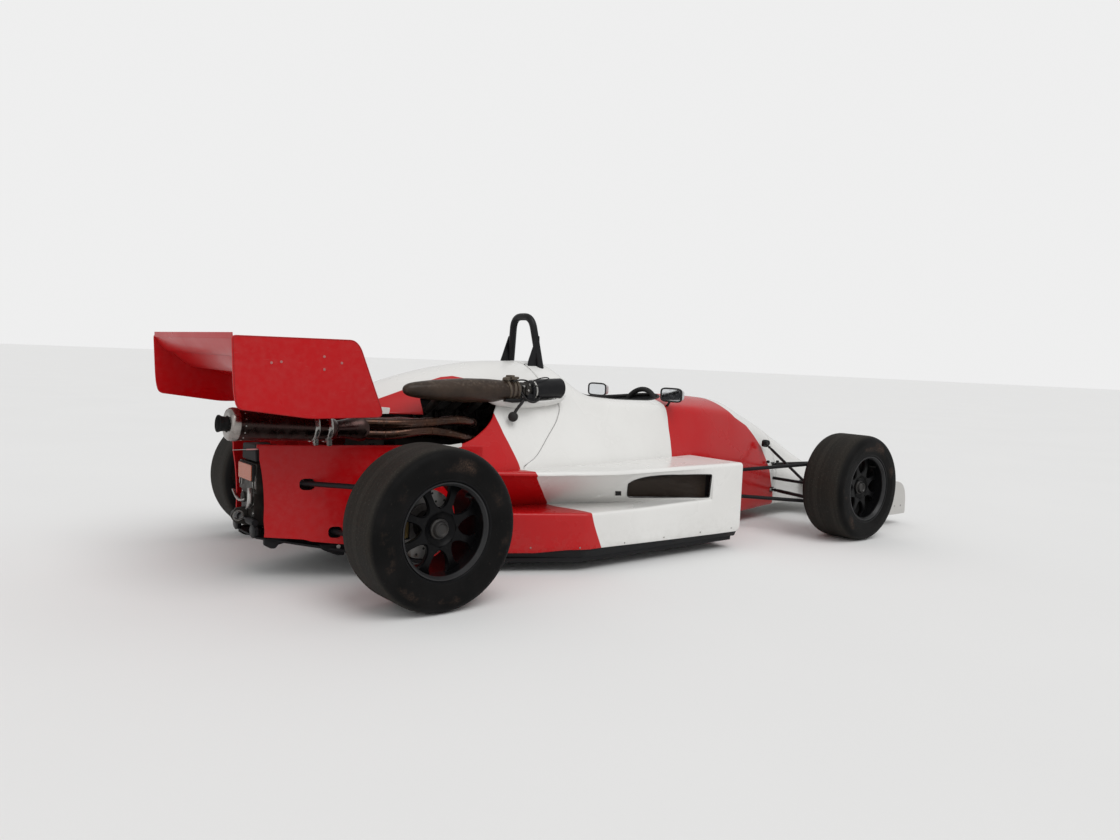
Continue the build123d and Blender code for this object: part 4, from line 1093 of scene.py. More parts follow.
def podNet():
    # Columns run round the pod's section, from the hull along the top, down the flank, over the ledge,
    # down the side, and underneath as a foot of its own. Rows run along the car.
    rear, front = pod["window"]
    u = np.unique(np.concatenate([
        np.linspace(0.4, 0.9, 44), np.linspace(0.9, rear, 26), rear + 0.128 * np.linspace(0, 1, 20) ** 1.6,
        np.linspace(rear + 0.128, 1.538, 30), [1.5415, front], pod["recessFront"] + np.array([0, 0.004]),
        np.linspace(1.568, 1.73, 14), 1.735 + 0.025 * np.sin(np.linspace(0, np.pi / 2, 9))]))
    low, high = windowHeights(u)
    cols = []

    def column(z, width):
        z = z + 0 * u
        x = podStation(u, z)
        cols.append(asPoints(x, width(x, z), z))

    edge = 0.016
    outer = lambda x: podPlan(x)[0] - podPlan(x)[1]
    inner = lambda x: np.minimum(hullSide(x, 0.416 + 0 * x) - 0.012, outer(x) - edge - 0.004)
    for t in np.linspace(0, 1, 22):
        column(pod["top"], lambda x, z: inner(x) + (outer(x) - edge - inner(x)) * t)
    last = {"top": len(cols) - 1}
    for a in np.linspace(0, np.pi / 2, 9)[1:]:
        column(pod["top"] - edge + edge * np.cos(a), lambda x, z: outer(x) - edge + edge * np.sin(a))
    ledge = podPlan(u)[3]
    flank = [pod["lip"] + (high - pod["lip"]) * t for t in np.linspace(0, 1, 6)[1:]]
    topOfWindow = len(cols) + len(flank) - 1
    flank += [high + (low - high) * t for t in np.linspace(0, 1, 12)[1:]]
    lowOfWindow = len(cols) + len(flank) - 1
    flank += [low + (ledge + 0.001 - low) * t for t in np.linspace(0, 1, 5)[1:]]
    for z in flank:
        column(z, podFlank)
    last["flank"] = len(cols) - 1
    foot = cols[-1]
    x = foot[:, 0]
    half, ledge = podPlan(x)[0], podPlan(x)[3]
    ahead = np.clip((x - pod["recessFront"]) / 0.004, 0, 1)
    edge = 0.013
    for t in np.linspace(0, 1, 8)[1:]:
        shelf = foot[:, 1] + (half - edge - foot[:, 1]) * t
        cols.append(asPoints(x, shelf * (1 - ahead) + half * ahead, ledge - 0.001 * t))
    last["ledge"] = len(cols) - 1
    for a in np.linspace(0, np.pi / 2, 5)[1:]:
        shelf = half - edge + edge * np.sin(a)
        cols.append(asPoints(x, shelf * (1 - ahead) + half * ahead, ledge - 0.001 - edge + edge * np.cos(a)))
    # The front's lower corner is an arc of 25 mm radius.
    arc = np.clip((x - 1.735) / 0.025, 0, 1)
    low = np.interp(x, *np.array(pod["lowEdge"]).T) + 0.025 * (1 - np.sqrt(1 - arc ** 2))
    side = ledge - 0.001 - edge
    for t in np.linspace(0, 1, 8)[1:]:
        cols.append(asPoints(x, half, side + (low + 0.003 - side) * t))
    cols.append(asPoints(x, half - 0.001, low + 0.001))
    cols.append(asPoints(x, half - 0.004, low))
    cols.append(asPoints(x, half - 0.014, low + 0.001))
    under = [asPoints(x, half - 0.008, low + 0.004)]
    under += [asPoints(x, half - 0.008 - 0.02 * t, low + (0.064 - low) * t) for t in np.linspace(0, 1, 4)[1:]]
    under += [asPoints(x, half - 0.032 - 0.06 * t, 0.06) for t in np.linspace(0, 1, 4)]
    return np.stack(cols, 1), np.stack(under, 1), u, (topOfWindow, lowOfWindow), last


def podBoundary(net, last):
    # Station of the paint's line at each point of the net, by the part that its column belongs to.
    y, z = -net[..., 1], net[..., 2]
    lines = {name: np.array(rows).T for name, rows in pod["paint"].items()}
    across = {"top": y, "flank": z, "ledge": y}
    column = np.arange(net.shape[1])
    within = [column <= last[part] for part in across]
    stations = [np.interp(across[part], *lines[part]) for part in across]
    return np.select(within, stations, np.interp(z, *lines["side"]))


def mouthLip(mouth):
    # An inner skin turns back from the mouth over a round lip, towards the middle of the inlet.
    inward = np.array([0, -0.49, 0.24]) - mouth
    inward[:, 0] = 0
    inward /= np.linalg.norm(inward, axis=1)[:, None]
    rows = [mouth + inward * 0.009 * (1 - np.cos(a)) + np.array([1, 0, 0]) * 0.006 * np.sin(a)
            for a in np.linspace(0, np.pi, 9)]
    rows += [rows[8] - np.array([back, 0, 0]) for back in np.linspace(0.01, 0.16, 6)]
    return grid(np.array(rows))


def buildPods():
    # The painted skin without its window, the foot under it, seals, end walls and a dark patch of painted
    # shade for a small hole.
    net, under, u, (top, low), last = podNet()
    net[..., 1] *= -1
    under[..., 1] *= -1
    cols = net.shape[1]
    paint = podBoundary(net, last) - net[..., 0]
    points, faces = grid(net)
    rear, front = np.searchsorted(u, np.array(pod["window"]) - 0.0001)
    keep = [face for k, face in enumerate(faces)
            if not (rear <= k // (cols - 1) < front and top <= k % (cols - 1) < low)]
    lip = mouthLip(net[-1])
    shape = joined([(points, keep), lip])
    paintAll = np.concatenate([paint.ravel(), np.full(len(lip[0]), -1.0)])
    for name, side in (("Right", shape), ("Left", otherSide(shape))):
        addPiece("pod" + name, side, "body", stands=["sidepod_" + name.lower()], slot="body_white",
                 wall=0.004, paint=paintAll, outward=False, sharp=32)
    addPiece("podFeet", bothSides(joined([grid(under), mouthLip(under[-1])])), "floor", wall=0.003,
             outward=False)
    seal = np.concatenate([net[rear:front, top], net[front, top:low], net[front:rear:-1, low],
                           net[rear, low:top:-1]])
    addPiece("windowSeals", bothSides(tube(seal, 0.0021, 8, closed=True)), "rubber")
    # A wall closes the notch behind the ledge, and a dark one the shell's rear
    z = np.linspace(0.25, 0.412, 10)
    x = np.full_like(z, 0.4002)
    inner, outer = podFlank(x, z), podHalf(x)
    share = np.linspace(0, 1, 6)[:, None]
    notch = grid(asPoints(x, -(inner * (1 - share) + (outer - 0.001) * share), z))
    addPiece("podNotches", bothSides(notch), "red", wall=0.002, outward=False)
    z = np.linspace(0.064, 0.414, 24)
    outer = np.where(z > 0.252, podFlank(0.404 + 0 * z, z), podHalf(0.404 + 0 * z)) - 0.005
    back = grid(asPoints(0.404, -(0.24 * (1 - share) + outer * share), z))
    addPiece("podCaps", bothSides(back), "floor", wall=0.002, outward=False)
    # A small hole behind the window, on the leaning flank: a dark patch of painted shade in a pale frame
    corners = np.array([(1.019, 0.318), (1.054, 0.316), (1.078, 0.289), (1.045, 0.29)])
    spots = roundedOutline(corners, 0.004)
    rim = asPoints(spots[:, 0], -podFlank(spots[:, 0], spots[:, 1]) - 0.0008, spots[:, 1])
    middle = rim.mean(0)
    share = np.linspace(1, 0, 4)[:, None, None]
    addPiece("podHoleShades", bothSides(grid(middle + (rim - middle)[None] * share, roundCols=True)), "rubber",
             outward=False)
    addPiece("podSocketFrames", bothSides(tube(rim, 0.0016, 8, closed=True)), "clipWhite")


finishes["clipWhite"] = plainPaint("clipWhite", (0.66, 0.65, 0.62))
buildPods()


def buildWindowMesh():
    # Thin bars cross inside the window: one set level, one set upright. They keep 14 mm inside the
    # flank, and a dark sheet stands behind them against light from the duct.
    def inside(x, z, gap=0.014):
        return asPoints(x, -np.minimum(podFlank(np.clip(x, 1.07, 1.545), z) - gap, 0.602), z)

    along, upright = np.linspace(1.066, 1.546, 25), np.linspace(0.264, 0.392, 5)
    bars = [tube(inside(along, z + 0 * along), 0.00165, 6) for z in np.arange(0.268, 0.39, 0.0062)]
    bars += [tube(inside(x + 0 * upright, upright), 0.00165, 6) for x in np.arange(1.068, 1.546, 0.0062)]
    addPiece("windowBars", bothSides(joined(bars)), "fibreMesh", stands=["window_mesh"], slot="plenum_brown",
             weld=False)
    # The dark sheet behind the bars is painted shade for the duct's inside
    x, z = np.meshgrid(np.linspace(1.02, 1.6, 16), np.linspace(0.258, 0.404, 8), indexing="ij")
    addPiece("windowShadeSheet", bothSides(grid(inside(x, z, 0.03))), "floor", wall=0.002)


def buildRadiators():
    # Cores with thin upright fins between flat tubes.
    fins = [plate(box((1.334, 1.371), (0.086, 0.402)), y - 0.0004, y + 0.0004)
            for y in np.linspace(-0.542, -0.408, 46)]
    tubes = [plate(box((1.333, 1.372), (z - 0.0016, z + 0.0016)), -0.545, -0.405)
             for z in np.linspace(0.094, 0.394, 26)]
    tanks = [plate(box((1.33, 1.375), heights, 0.006), -0.545, -0.405)
             for heights in ((0.0825, 0.0925), (0.3955, 0.4055))]
    addPiece("radiatorFins", bothSides(joined(fins + tubes)), "alloy", stands=["radiators"],
             slot="alloy_dull")
    addPiece("radiatorTanks", bothSides(joined(tanks)), "alloy", bevel=0.002)


finishes["fibreMesh"] = plainPaint("meshBrown", (0.03, 0.02, 0.014), (0.1, 0.075, 0.055), 0.45)
buildWindowMesh()
buildRadiators()
print("pods made")

# Tail panels: upright walls inside the rear wheels, drawn in to the tail

tail = {
    "top": 0.522, "end": -0.402, "wall": 0.006,
    "plan": [(0.398, 0.43), (0.27, 0.37), (-0.12, 0.25), (-0.402, 0.147)],    # station, half width
    "foot": [(-0.402, 0.178), (-0.246, 0.164), (-0.217, 0.155), (-0.107, 0.141), (0.2, 0.08), (0.398, 0.066)],
    # height, how far the rear edge stands ahead of the end
    "rearEdge": [(0.172, 0.024), (0.2, 0.026), (0.24, 0.022), (0.29, 0.023), (0.34, 0.021), (0.378, 0.018),
                 (0.42, 0.013), (0.465, 0.005), (0.5, 0.004), (0.522, -0.004)],
    # holes for the arms, as station, height, half length, half height
    "holes": [(-0.236, 0.373, 0.027, 0.022), (-0.136, 0.188, 0.025, 0.022), (0.1, 0.382, 0.052, 0.03),
              (0.108, 0.17, 0.05, 0.03), (0.0, 0.285, 0.052, 0.052), (0.066, 0.4, 0.04, 0.048)],
}


def tailHalf(x):
    # Half width of the tail panels at a station.
    stations, halves = np.array(tail["plan"][::-1]).T
    return smoothTable(x, stations, halves)


def cutAway(piece, shapes):
    # Takes closed shapes out of a piece, one after another.
    bpy.context.view_layer.objects.active = piece
    for modifier in list(piece.modifiers):
        bpy.ops.object.modifier_apply(modifier=modifier.name)
    for shape in shapes:
        cutter = addPiece(piece.name + "Cutter", shape, "red")
        bpy.context.view_layer.objects.active = piece
        cut = piece.modifiers.new("cut", "BOOLEAN")
        cut.object, cut.solver = cutter, "EXACT"
        bpy.ops.object.modifier_apply(modifier="cut")
        bpy.data.objects.remove(cutter, do_unlink=True)
    piece.data.set_sharp_from_angle(angle=math.radians(38))


def buildTail():
    # A net from the foot to the top edge: rows t of the height, columns from the rear edge to the front.
    base, top, front = 0.178, tail["top"] - 0.004, tail["plan"][0][0]
    rows = []
    for t in np.linspace(0, 1, 40):
        end = tail["end"] + np.interp(base + (top - base) * t, *np.array(tail["rearEdge"]).T)
        station = end + (front - end) * np.linspace(0, 1, 120)
        low = np.interp(station, *np.array(tail["foot"]).T)
        rows.append(asPoints(station, -tailHalf(station), low + (top - low) * t))
    # The top edge is rolled: a half circle of 4 mm radius turned inward, and a short drop
    rows += [rows[39] + np.array([0, 0.004 * (1 - np.cos(a)), 0.004 * np.sin(a)])
             for a in np.linspace(0, np.pi, 8)[1:]]
    shape = grid(np.array(rows + [rows[-1] - np.array([0, 0, 0.01])]))
    across, upward = soft(np.cos(around(40)), 0.7), soft(np.sin(around(40)), 0.7)
    holes = [np.stack([x + along * across, z + up * upward], 1) for x, z, along, up in tail["holes"]]
    right = addPiece("tailPanelRight", shape, "red", stands=["tail_panels"], slot="body_red",
                     wall=tail["wall"], outward=False)
    cutAway(right, [plate(hole, -0.09, -0.47) for hole in holes])
    left = addPiece("tailPanelLeft", otherSide(shape), "red", wall=tail["wall"], outward=False)
    cutAway(left, [plate(hole, 0.09, 0.47) for hole in holes])


buildTail()

# Wheels. Each ring is a profile swung round the axle.


def aroundAxle(axle, radius, profile, sides=128):
    # Profile rows are (half width from the centre line, distance from the axle), on the right side.
    y, r = np.array(profile, float).T
    a = around(sides)[:, None]
    return grid(asPoints(axle + r * np.cos(a), -y + 0 * a, radius + r * np.sin(a)), roundRows=True)


wheelRows = {
    # axle station, tyre radius, outer half, width, disc's outer half
    "front": (2.54, 0.275, 0.86, 0.24, 0.698),
    "rear": (0.0, 0.285, 0.84, 0.245, 0.674),
}
rim = {"radius": 0.178, "bead": 0.166, "spokes": 8, "faceIn": 0.062}


def tyreProfile(radius, outer, width):
    # From the outer bead over the shoulder, across the tread and back to the inner bead. The side is an
    # eased outline, and the shoulder runs as 52 mm * cos(a)^0.92 across and 40 mm * sin(a)^0.8 upward.
    half, lip = width / 2, rim["radius"]
    a = np.linspace(0, np.pi / 2, 26)
    shoulder = half - 0.052 + 0.052 * np.cos(a) ** 0.92, radius - 0.04 + 0.04 * np.sin(a) ** 0.8
    across = np.linspace(half - 0.052, 0, 18)[1:]
    tread = np.stack([across, np.full_like(across, radius)], 1)
    side = eased([(half - 0.02, lip - 0.004), (half - 0.009, lip - 0.001), (half - 0.006, lip + 0.006),
                  (half - 0.001, lip + 0.03), (half, radius - 0.06), (half, radius - 0.04)], 2)
    rows = np.concatenate([side[:-1], np.stack(shoulder, 1), tread])
    rows = np.concatenate([rows, (rows * np.array([-1, 1]))[-2::-1]])
    rows[:, 0] += outer - half
    return rows


def spokeShape(axle, radius, face, count):
    # Each spoke runs from the hub to the barrel, its front and half width smooth functions of the share
    # t of the way: front = face - 0.010 t^2 + 0.004 sin(pi t), half width = 0.0135 + 0.024 |2t - 1|^3.
    shapes = []
    t = np.linspace(0, 1, 18)
    r, half = 0.06 + 0.098 * t, 0.0135 + 0.024 * np.abs(2 * t - 1) ** 3
    front = face - 0.01 * t ** 2 + 0.004 * np.sin(np.pi * t)
    for a in 2 * np.pi * (np.arange(count) + 0.5) / count:
        rings = []
        for share, depth in ((-1, 0), (-0.8, 0.005), (0.8, 0.005), (1, 0), (0.8, -0.017), (-0.8, -0.017)):
            x, z = r * np.cos(a) - half * share * np.sin(a), r * np.sin(a) + half * share * np.cos(a)
            rings.append(asPoints(axle + x, -(front + depth), radius + z))
        shapes.append(grid(np.stack(rings, 1), roundCols=True))
    return shapes


def buildWheel(end, side):
    # All parts of a wheel are profiles swung round its axle. Their rows are offsets in millimetres
    # from the face, the bead, the rim's lip, the disc or an edge.
    axle, radius, outer, width, disc = wheelRows[end]
    inner, face = outer - width, outer - rim["faceIn"]
    lip, bead = rim["radius"], rim["bead"]
    label, body = end.capitalize() + side.capitalize(), f"wheel_{end}_{side}"
    node = lambda part: [f"{end}_{part}_{side}"]
    swung = lambda rows, sides=128: aroundAxle(axle, radius, rows, sides)

    def add(part, shape, finish, **more):
        addPiece(part + label, otherSide(shape) if side == "left" else shape, finish, body, **more)

    add("tyre", swung(tyreProfile(radius, outer, width)), end + "Tyre", stands=node("tyre"), slot="tyre",
        sharp=60)
    barrel = near(inner, lip, [(8, -1), (7, 1), (12, 2), (18, -3)]) + near(inner, bead, [(21, -2)])
    barrel += near(face, bead, [(-45, -4)]) + near(outer, bead, [(-22, -1)])
    barrel += near(outer, lip, [(-19, -3), (-13, 3), (-8.5, 1), (-8.5, -5), (-15, -10), (-30, -22)])
    barrel += near(face, 0, [(4, 158.5), (-14, 155.5), (-26, 157)]) + near(inner, 0, [(24, 157.5)])
    barrel += near(inner, lip, [(12, -8)])
    hub = near(face, 0, [(-26, 26.5), (-26, 70), (-18, 74), (1, 67), (4, 60), (-4, 52), (-8, 40), (-8, 26.5)])
    shapes = [swung(closed(barrel)), swung(closed(hub))] + spokeShape(axle, radius, face, rim["spokes"])
    add("rim", joined(shapes), "rim", stands=node("rim"), slot="rim_dark", sharp=30)
    ring = near(outer, lip, [(-15, -12), (-12, -10), (-12.2, -15), (-24, -23), (-26.2, -21)])
    add("rimRing", swung(closed(ring)), "alloyDark")
    nut = near(face, 0, [(-8, 0), (-8, 36), (2, 36), (4, 30), (16, 27), (19, 24), (12, 19), (10, 0)])
    add("nut", swung(nut, 12), "nutDark", bevel=0.0012)
    valve = (axle + 0.112, -(face + 0.002), radius + 0.104)
    add("valve", knob(valve, (0, -1, 0), near(0, 0, [(-20, 4), (12, 4), (14, 3)]), 12), "rubber")
    # Disc: a ring with a row of holes round it, on a bell
    flat = near(disc, 0, [(-18, 72), (-18, 123.5), (0, 123.5), (0, 72)])
    bell = near(disc, 0, [(-12, 74), (6, 74), (10, 50)]) + near(face, 0, [(-27, 47), (-27, 30)])
    bell += near(disc, 0, [(-12, 30)])
    add("disc", swung(closed(flat), 96), end + "Disc", stands=node("hub"), slot="hub_iron")
    add("bell", swung(closed(bell), 64), "iron")
    shaft = near(disc, 0, [(-110, 0), (-110, 25.5)])
    if end == "rear":
        shaft = near(0, 0, [(131, 0), (131, 34), (138, 39), (178, 39), (190, 26), (196, 13.5)])
        shaft += near(disc, 0, [(-160, 13.5), (-152, 28), (-144, 39), (-101, 39), (-96, 25.5)])
    add("shaft", swung(shaft + near(face, 0, [(-10, 25.5), (-10, 0)]), 40), "iron")
    holes = []
    for k in range(24):
        a, r = 2 * np.pi * k / 24, 0.088 + 0.022 * (k % 2)
        centre = (axle + r * math.cos(a), -(disc + 0.0002), radius + r * math.sin(a))
        holes.append(knob(centre, (0, -1, 0), near(0, 0, [(-2, 4.2), (0.4, 4.2)]), 12))
    add("discHoles", joined(holes), "rubber")


finishes["alloyDark"] = mouldedBlack("rimEdge", (0.022, 0.022, 0.023), 0.3, 500)
finishes["nutDark"] = castMetal("wheelNut", (0.045, 0.043, 0.042), 0.38, 0.7, 0.6)
for end in ("front", "rear"):
    for side in ("left", "right"):
        buildWheel(end, side)
print("wheels made")

# Wings


def aerofoil(lead, trail, thickness, y, camber=0.0, count=30):
    # A wing section at the share s of the chord: half thickness is thickness * (1.4845 sqrt(s) - 0.63 s
    # - 1.758 s^2 + 1.4215 s^3 - 0.5075 s^4) + 0.0011 s, 0.86 of it above the mean line and 1.14 below.
    # The mean line is bowed down by camber * 4 s (1 - s).
    lead, trail = np.array(lead, float), np.array(trail, float)
    s = 0.5 - 0.5 * np.cos(np.linspace(0, np.pi, count))
    half = thickness * (1.4845 * np.sqrt(s) - 0.63 * s - 1.758 * s ** 2 + 1.4215 * s ** 3 - 0.5075 * s ** 4)
    half = (half + 0.0011 * s)[:, None]
    chord = trail - lead
    across = np.array([chord[1], -chord[0]]) / np.linalg.norm(chord)
    across = across if across[1] > 0 else -across
    middle = lead + s[:, None] * chord - across * (camber * 4 * s * (1 - s))[:, None]
    loop = np.concatenate([(middle + across * half * 0.86)[::-1], (middle - across * half * 1.14)[1:]])
    points, faces = grid(asPoints(loop[None, :, 0], np.array(y)[:, None], loop[None, :, 1]), roundCols=True)
    n = len(loop)
    return points, faces + [list(range(n)), list(range((len(y) - 1) * n, len(y) * n))[::-1]]


rearWing = {
    # leading edge, trailing edge, thickness, bow
    "planes": [((-0.105, 0.742), (-0.448, 0.81), 0.036, 0.01),
               ((-0.436, 0.786), (-0.558, 0.866), 0.021, 0.003),
               ((-0.546, 0.846), (-0.608, 0.91), 0.016, 0.001)],
    "half": 0.482, "plate": 0.006,
    "outline": [(-0.612, 0.915), (-0.19, 0.918), (-0.165, 0.895), (-0.073, 0.663), (-0.082, 0.645),
                (-0.34, 0.642), (-0.59, 0.676), (-0.603, 0.719)],
    "corners": [0.016, 0.018, 0.02, 0.02, 0.016, 0.03, 0.018, 0.06],
    "bolts": [(-0.482, 0.83), (-0.449, 0.834), (-0.3, 0.856), (-0.299, 0.812), (-0.236, 0.836)],
}


def buildRearWing():
    # Planes, plates with borders and bolts, and a pillar with holes.
    half = rearWing["half"] - rearWing["plate"] / 2
    y = np.linspace(-half, half, 25)
    shapes = [aerofoil(lead, trail, t, y, bow) for lead, trail, t, bow in rearWing["planes"]]
    addPiece("rearPlanes", joined(shapes), "red", stands=["rear_wing_planes"], slot="body_red", sharp=50)
    gurney = near(0, 0, [(-608.5, 903), (-605.5, 903), (-606.5, 923.5), (-609, 923.5)])
    addPiece("gurneyLip", plate(gurney, -half, half), "red", bevel=0.0005)
    outline = roundedOutline(rearWing["outline"], rearWing["corners"], 7)
    inset = outline.mean(0) + (outline - outline.mean(0)) * 0.985
    plates, rims, heads = [], [], []
    for side in (-1, 1):
        y0 = side * rearWing["half"]
        plates.append(plate(outline, y0 - 0.003, y0 + 0.003))
        rims.append(tube(asPoints(inset[:, 0], y0 + side * 0.0024, inset[:, 1]), 0.0016, 8, closed=True))
        centres = [(x, y0 + side * 0.003, z) for x, z in rearWing["bolts"]]
        heads.append(boltHeads(centres, (0, side, 0), 0.0048, 0.003, 12))
    addPiece("rearPlates", joined(plates), "red", stands=["rear_wing_plates"], slot="body_red", bevel=0.0012)
    addPiece("plateBorders", joined(rims), "borderShadeRed")
    addPiece("plateBolts", joined(heads), "boltPink")
    # Pillar plates with lightening holes
    outline = near(0, 0, [(-300, 387), (-132, 387), (-162, 560), (-172, 748), (-348, 780), (-330, 560)])
    outline = roundedOutline(outline, [0.01, 0.01, 0.08, 0.01, 0.01, 0.08], 7)
    plates = [plate(outline, y0, y0 + 0.006) for y0 in (-0.062, 0.056)]
    pillar = addPiece("wingPillar", joined(plates), "red", stands=["rear_wing_pillar"], slot="body_red")
    holes = (-0.24, 0.5, 0.03), (-0.246, 0.6, 0.026), (-0.252, 0.69, 0.022)
    cutAway(pillar, [knob((x, -0.1, z), (0, 1, 0), [(0, r), (0.2, r)], 36) for x, z, r in holes])
    heads = []
    for side in (-1, 1):
        spots = [(x, side * 0.062, 0.405) for x in (-0.28, -0.216, -0.152)]
        heads.append(boltHeads(spots, (0, side, 0), 0.008, 0.005))
    addPiece("pillarBolts", joined(heads), "steel")


frontWing = {
    "planes": [((3.222, 0.112), (2.99, 0.122), 0.026, 0.012), ((3.008, 0.138), (2.912, 0.198), 0.013, 0.004)],
    "inner": 0.07, "outer": 0.667,
    "outline": [(2.902, 0.062), (2.902, 0.25), (3.136, 0.257), (3.19, 0.242), (3.222, 0.206), (3.235, 0.16),
                (3.238, 0.062)],
    "corners": [0.01, 0.022, 0.03, 0.03, 0.03, 0.03, 0.012],
    "bolts": [(2.94, 0.2), (2.962, 0.162), (3.04, 0.118), (3.12, 0.112), (3.186, 0.11)],
}


def buildFrontWing():
    # Planes on both sides of the nose, plates with feet and bolts, and an edge strip.
    y = np.linspace(-frontWing["outer"], -frontWing["inner"], 14)
    shapes = [aerofoil(lead, trail, t, y, bow) for lead, trail, t, bow in frontWing["planes"]]
    addPiece("frontPlanes", bothSides(joined(shapes)), "pale", stands=["front_wing_planes"],
             slot="body_white", sharp=50)
    outline = roundedOutline(frontWing["outline"], frontWing["corners"], 7)
    foot = roundedOutline([(3.232, 0.062), (3.232, 0.074), (2.908, 0.074), (2.908, 0.062)], 0.004)
    plates, heads, feet = [], [], []
    for side in (-1, 1):
        plates.append(plate(outline, *sorted((side * 0.667, side * 0.675))))
        centres = [(x, side * 0.675, z) for x, z in frontWing["bolts"]]
        heads.append(boltHeads(centres, (0, side, 0), 0.0055, 0.003, 12))
        feet.append(plate(foot, *sorted((side * 0.64, side * 0.668))))
    addPiece("frontPlates", joined(plates), "pale", stands=["front_wing_plates"], slot="body_white",
             bevel=0.0016)
    addPiece("frontPlateFeet", joined(feet), "floor")
    addPiece("frontPlateBolts", joined(heads), "steel")
    gurney = near(0, 0, [(2911.5, 194), (2914.5, 196), (2910, 208), (2907.5, 206)])
    addPiece("frontGurney", bothSides(plate(gurney, -0.667, -0.1)), "floor")


# A darker red on the plates' raised borders is painted shade along the fold
finishes["borderShadeRed"] = plainPaint("borderRedShade", (0.3, 0.004, 0.006))
finishes["boltPink"] = castMetal("paintedBolt", (0.52, 0.2, 0.19), 0.4, 0.35, 0.35)
buildRearWing()
buildFrontWing()
print("wings made")

# Exhaust

exhaust = {
    # port station, y of the first bend, station where the lane starts, lane y, lane height
    "pipes": [(0.6, -0.24, 0.33, -0.345, 0.562), (0.495, -0.24, 0.33, -0.345, 0.608),
              (0.39, -0.25, 0.25, -0.287, 0.562), (0.285, -0.25, 0.16, -0.287, 0.608)],
    "radius": 0.019,
    "collector": (-0.06, -0.285, 0.59),
    "silencer": [(-0.165, 0.586), (-0.557, 0.612)],
    "silencerRadius": (0.045, 0.0575),
}


def softPath(points, radius, steps=7):
    # A path whose inner corners become curves between points a radius away.
    p = np.array(points, float)
    path = [p[0]]
    for a, c, b in zip(p, p[1:], p[2:]):
        spans = [(v - c, np.linalg.norm(v - c)) for v in (a, b)]
        start, end = (c + to / span * min(radius, span * 0.49) for to, span in spans)
        path += list(curve(start, c, end, np.linspace(0, 1, steps)[:, None]))
    return np.array(path + [p[-1]])


def lengthsAlong(path):
    # The distance along a path to each of its points.
    return np.concatenate([[0], np.cumsum(np.linalg.norm(np.diff(path, axis=0), axis=1))])


def pointsAt(path, distances):
    # Points at distances along a path.
    return np.stack([np.interp(distances, lengthsAlong(path), path[:, k]) for k in range(3)], -1)


def evenly(path, count):
    # The same path with points at equal steps along it.
    return pointsAt(path, np.linspace(0, lengthsAlong(path)[-1], count))


def bandRings(path, places, radius, width, height, sides=32):
    # Raised rings round a tube at shares of its path: welds, clamps and beads, half ellipses in section.
    total, half = lengthsAlong(path)[-1], width / 2
    t = np.linspace(0, np.pi, 7)
    swell = radius - 0.001 + (height + 0.001) * np.sin(t) ** 0.6
    rows = [(-half, radius * 0.6), *zip(-half * np.cos(t), swell), (half, radius * 0.6)]
    shapes = []
    for at in total * np.array(places):
        back, centre, on = pointsAt(path, np.clip([at - 0.004, at, at + 0.004], 0, total))
        shapes.append(turned(centre, on - back, rows, sides))
    return shapes


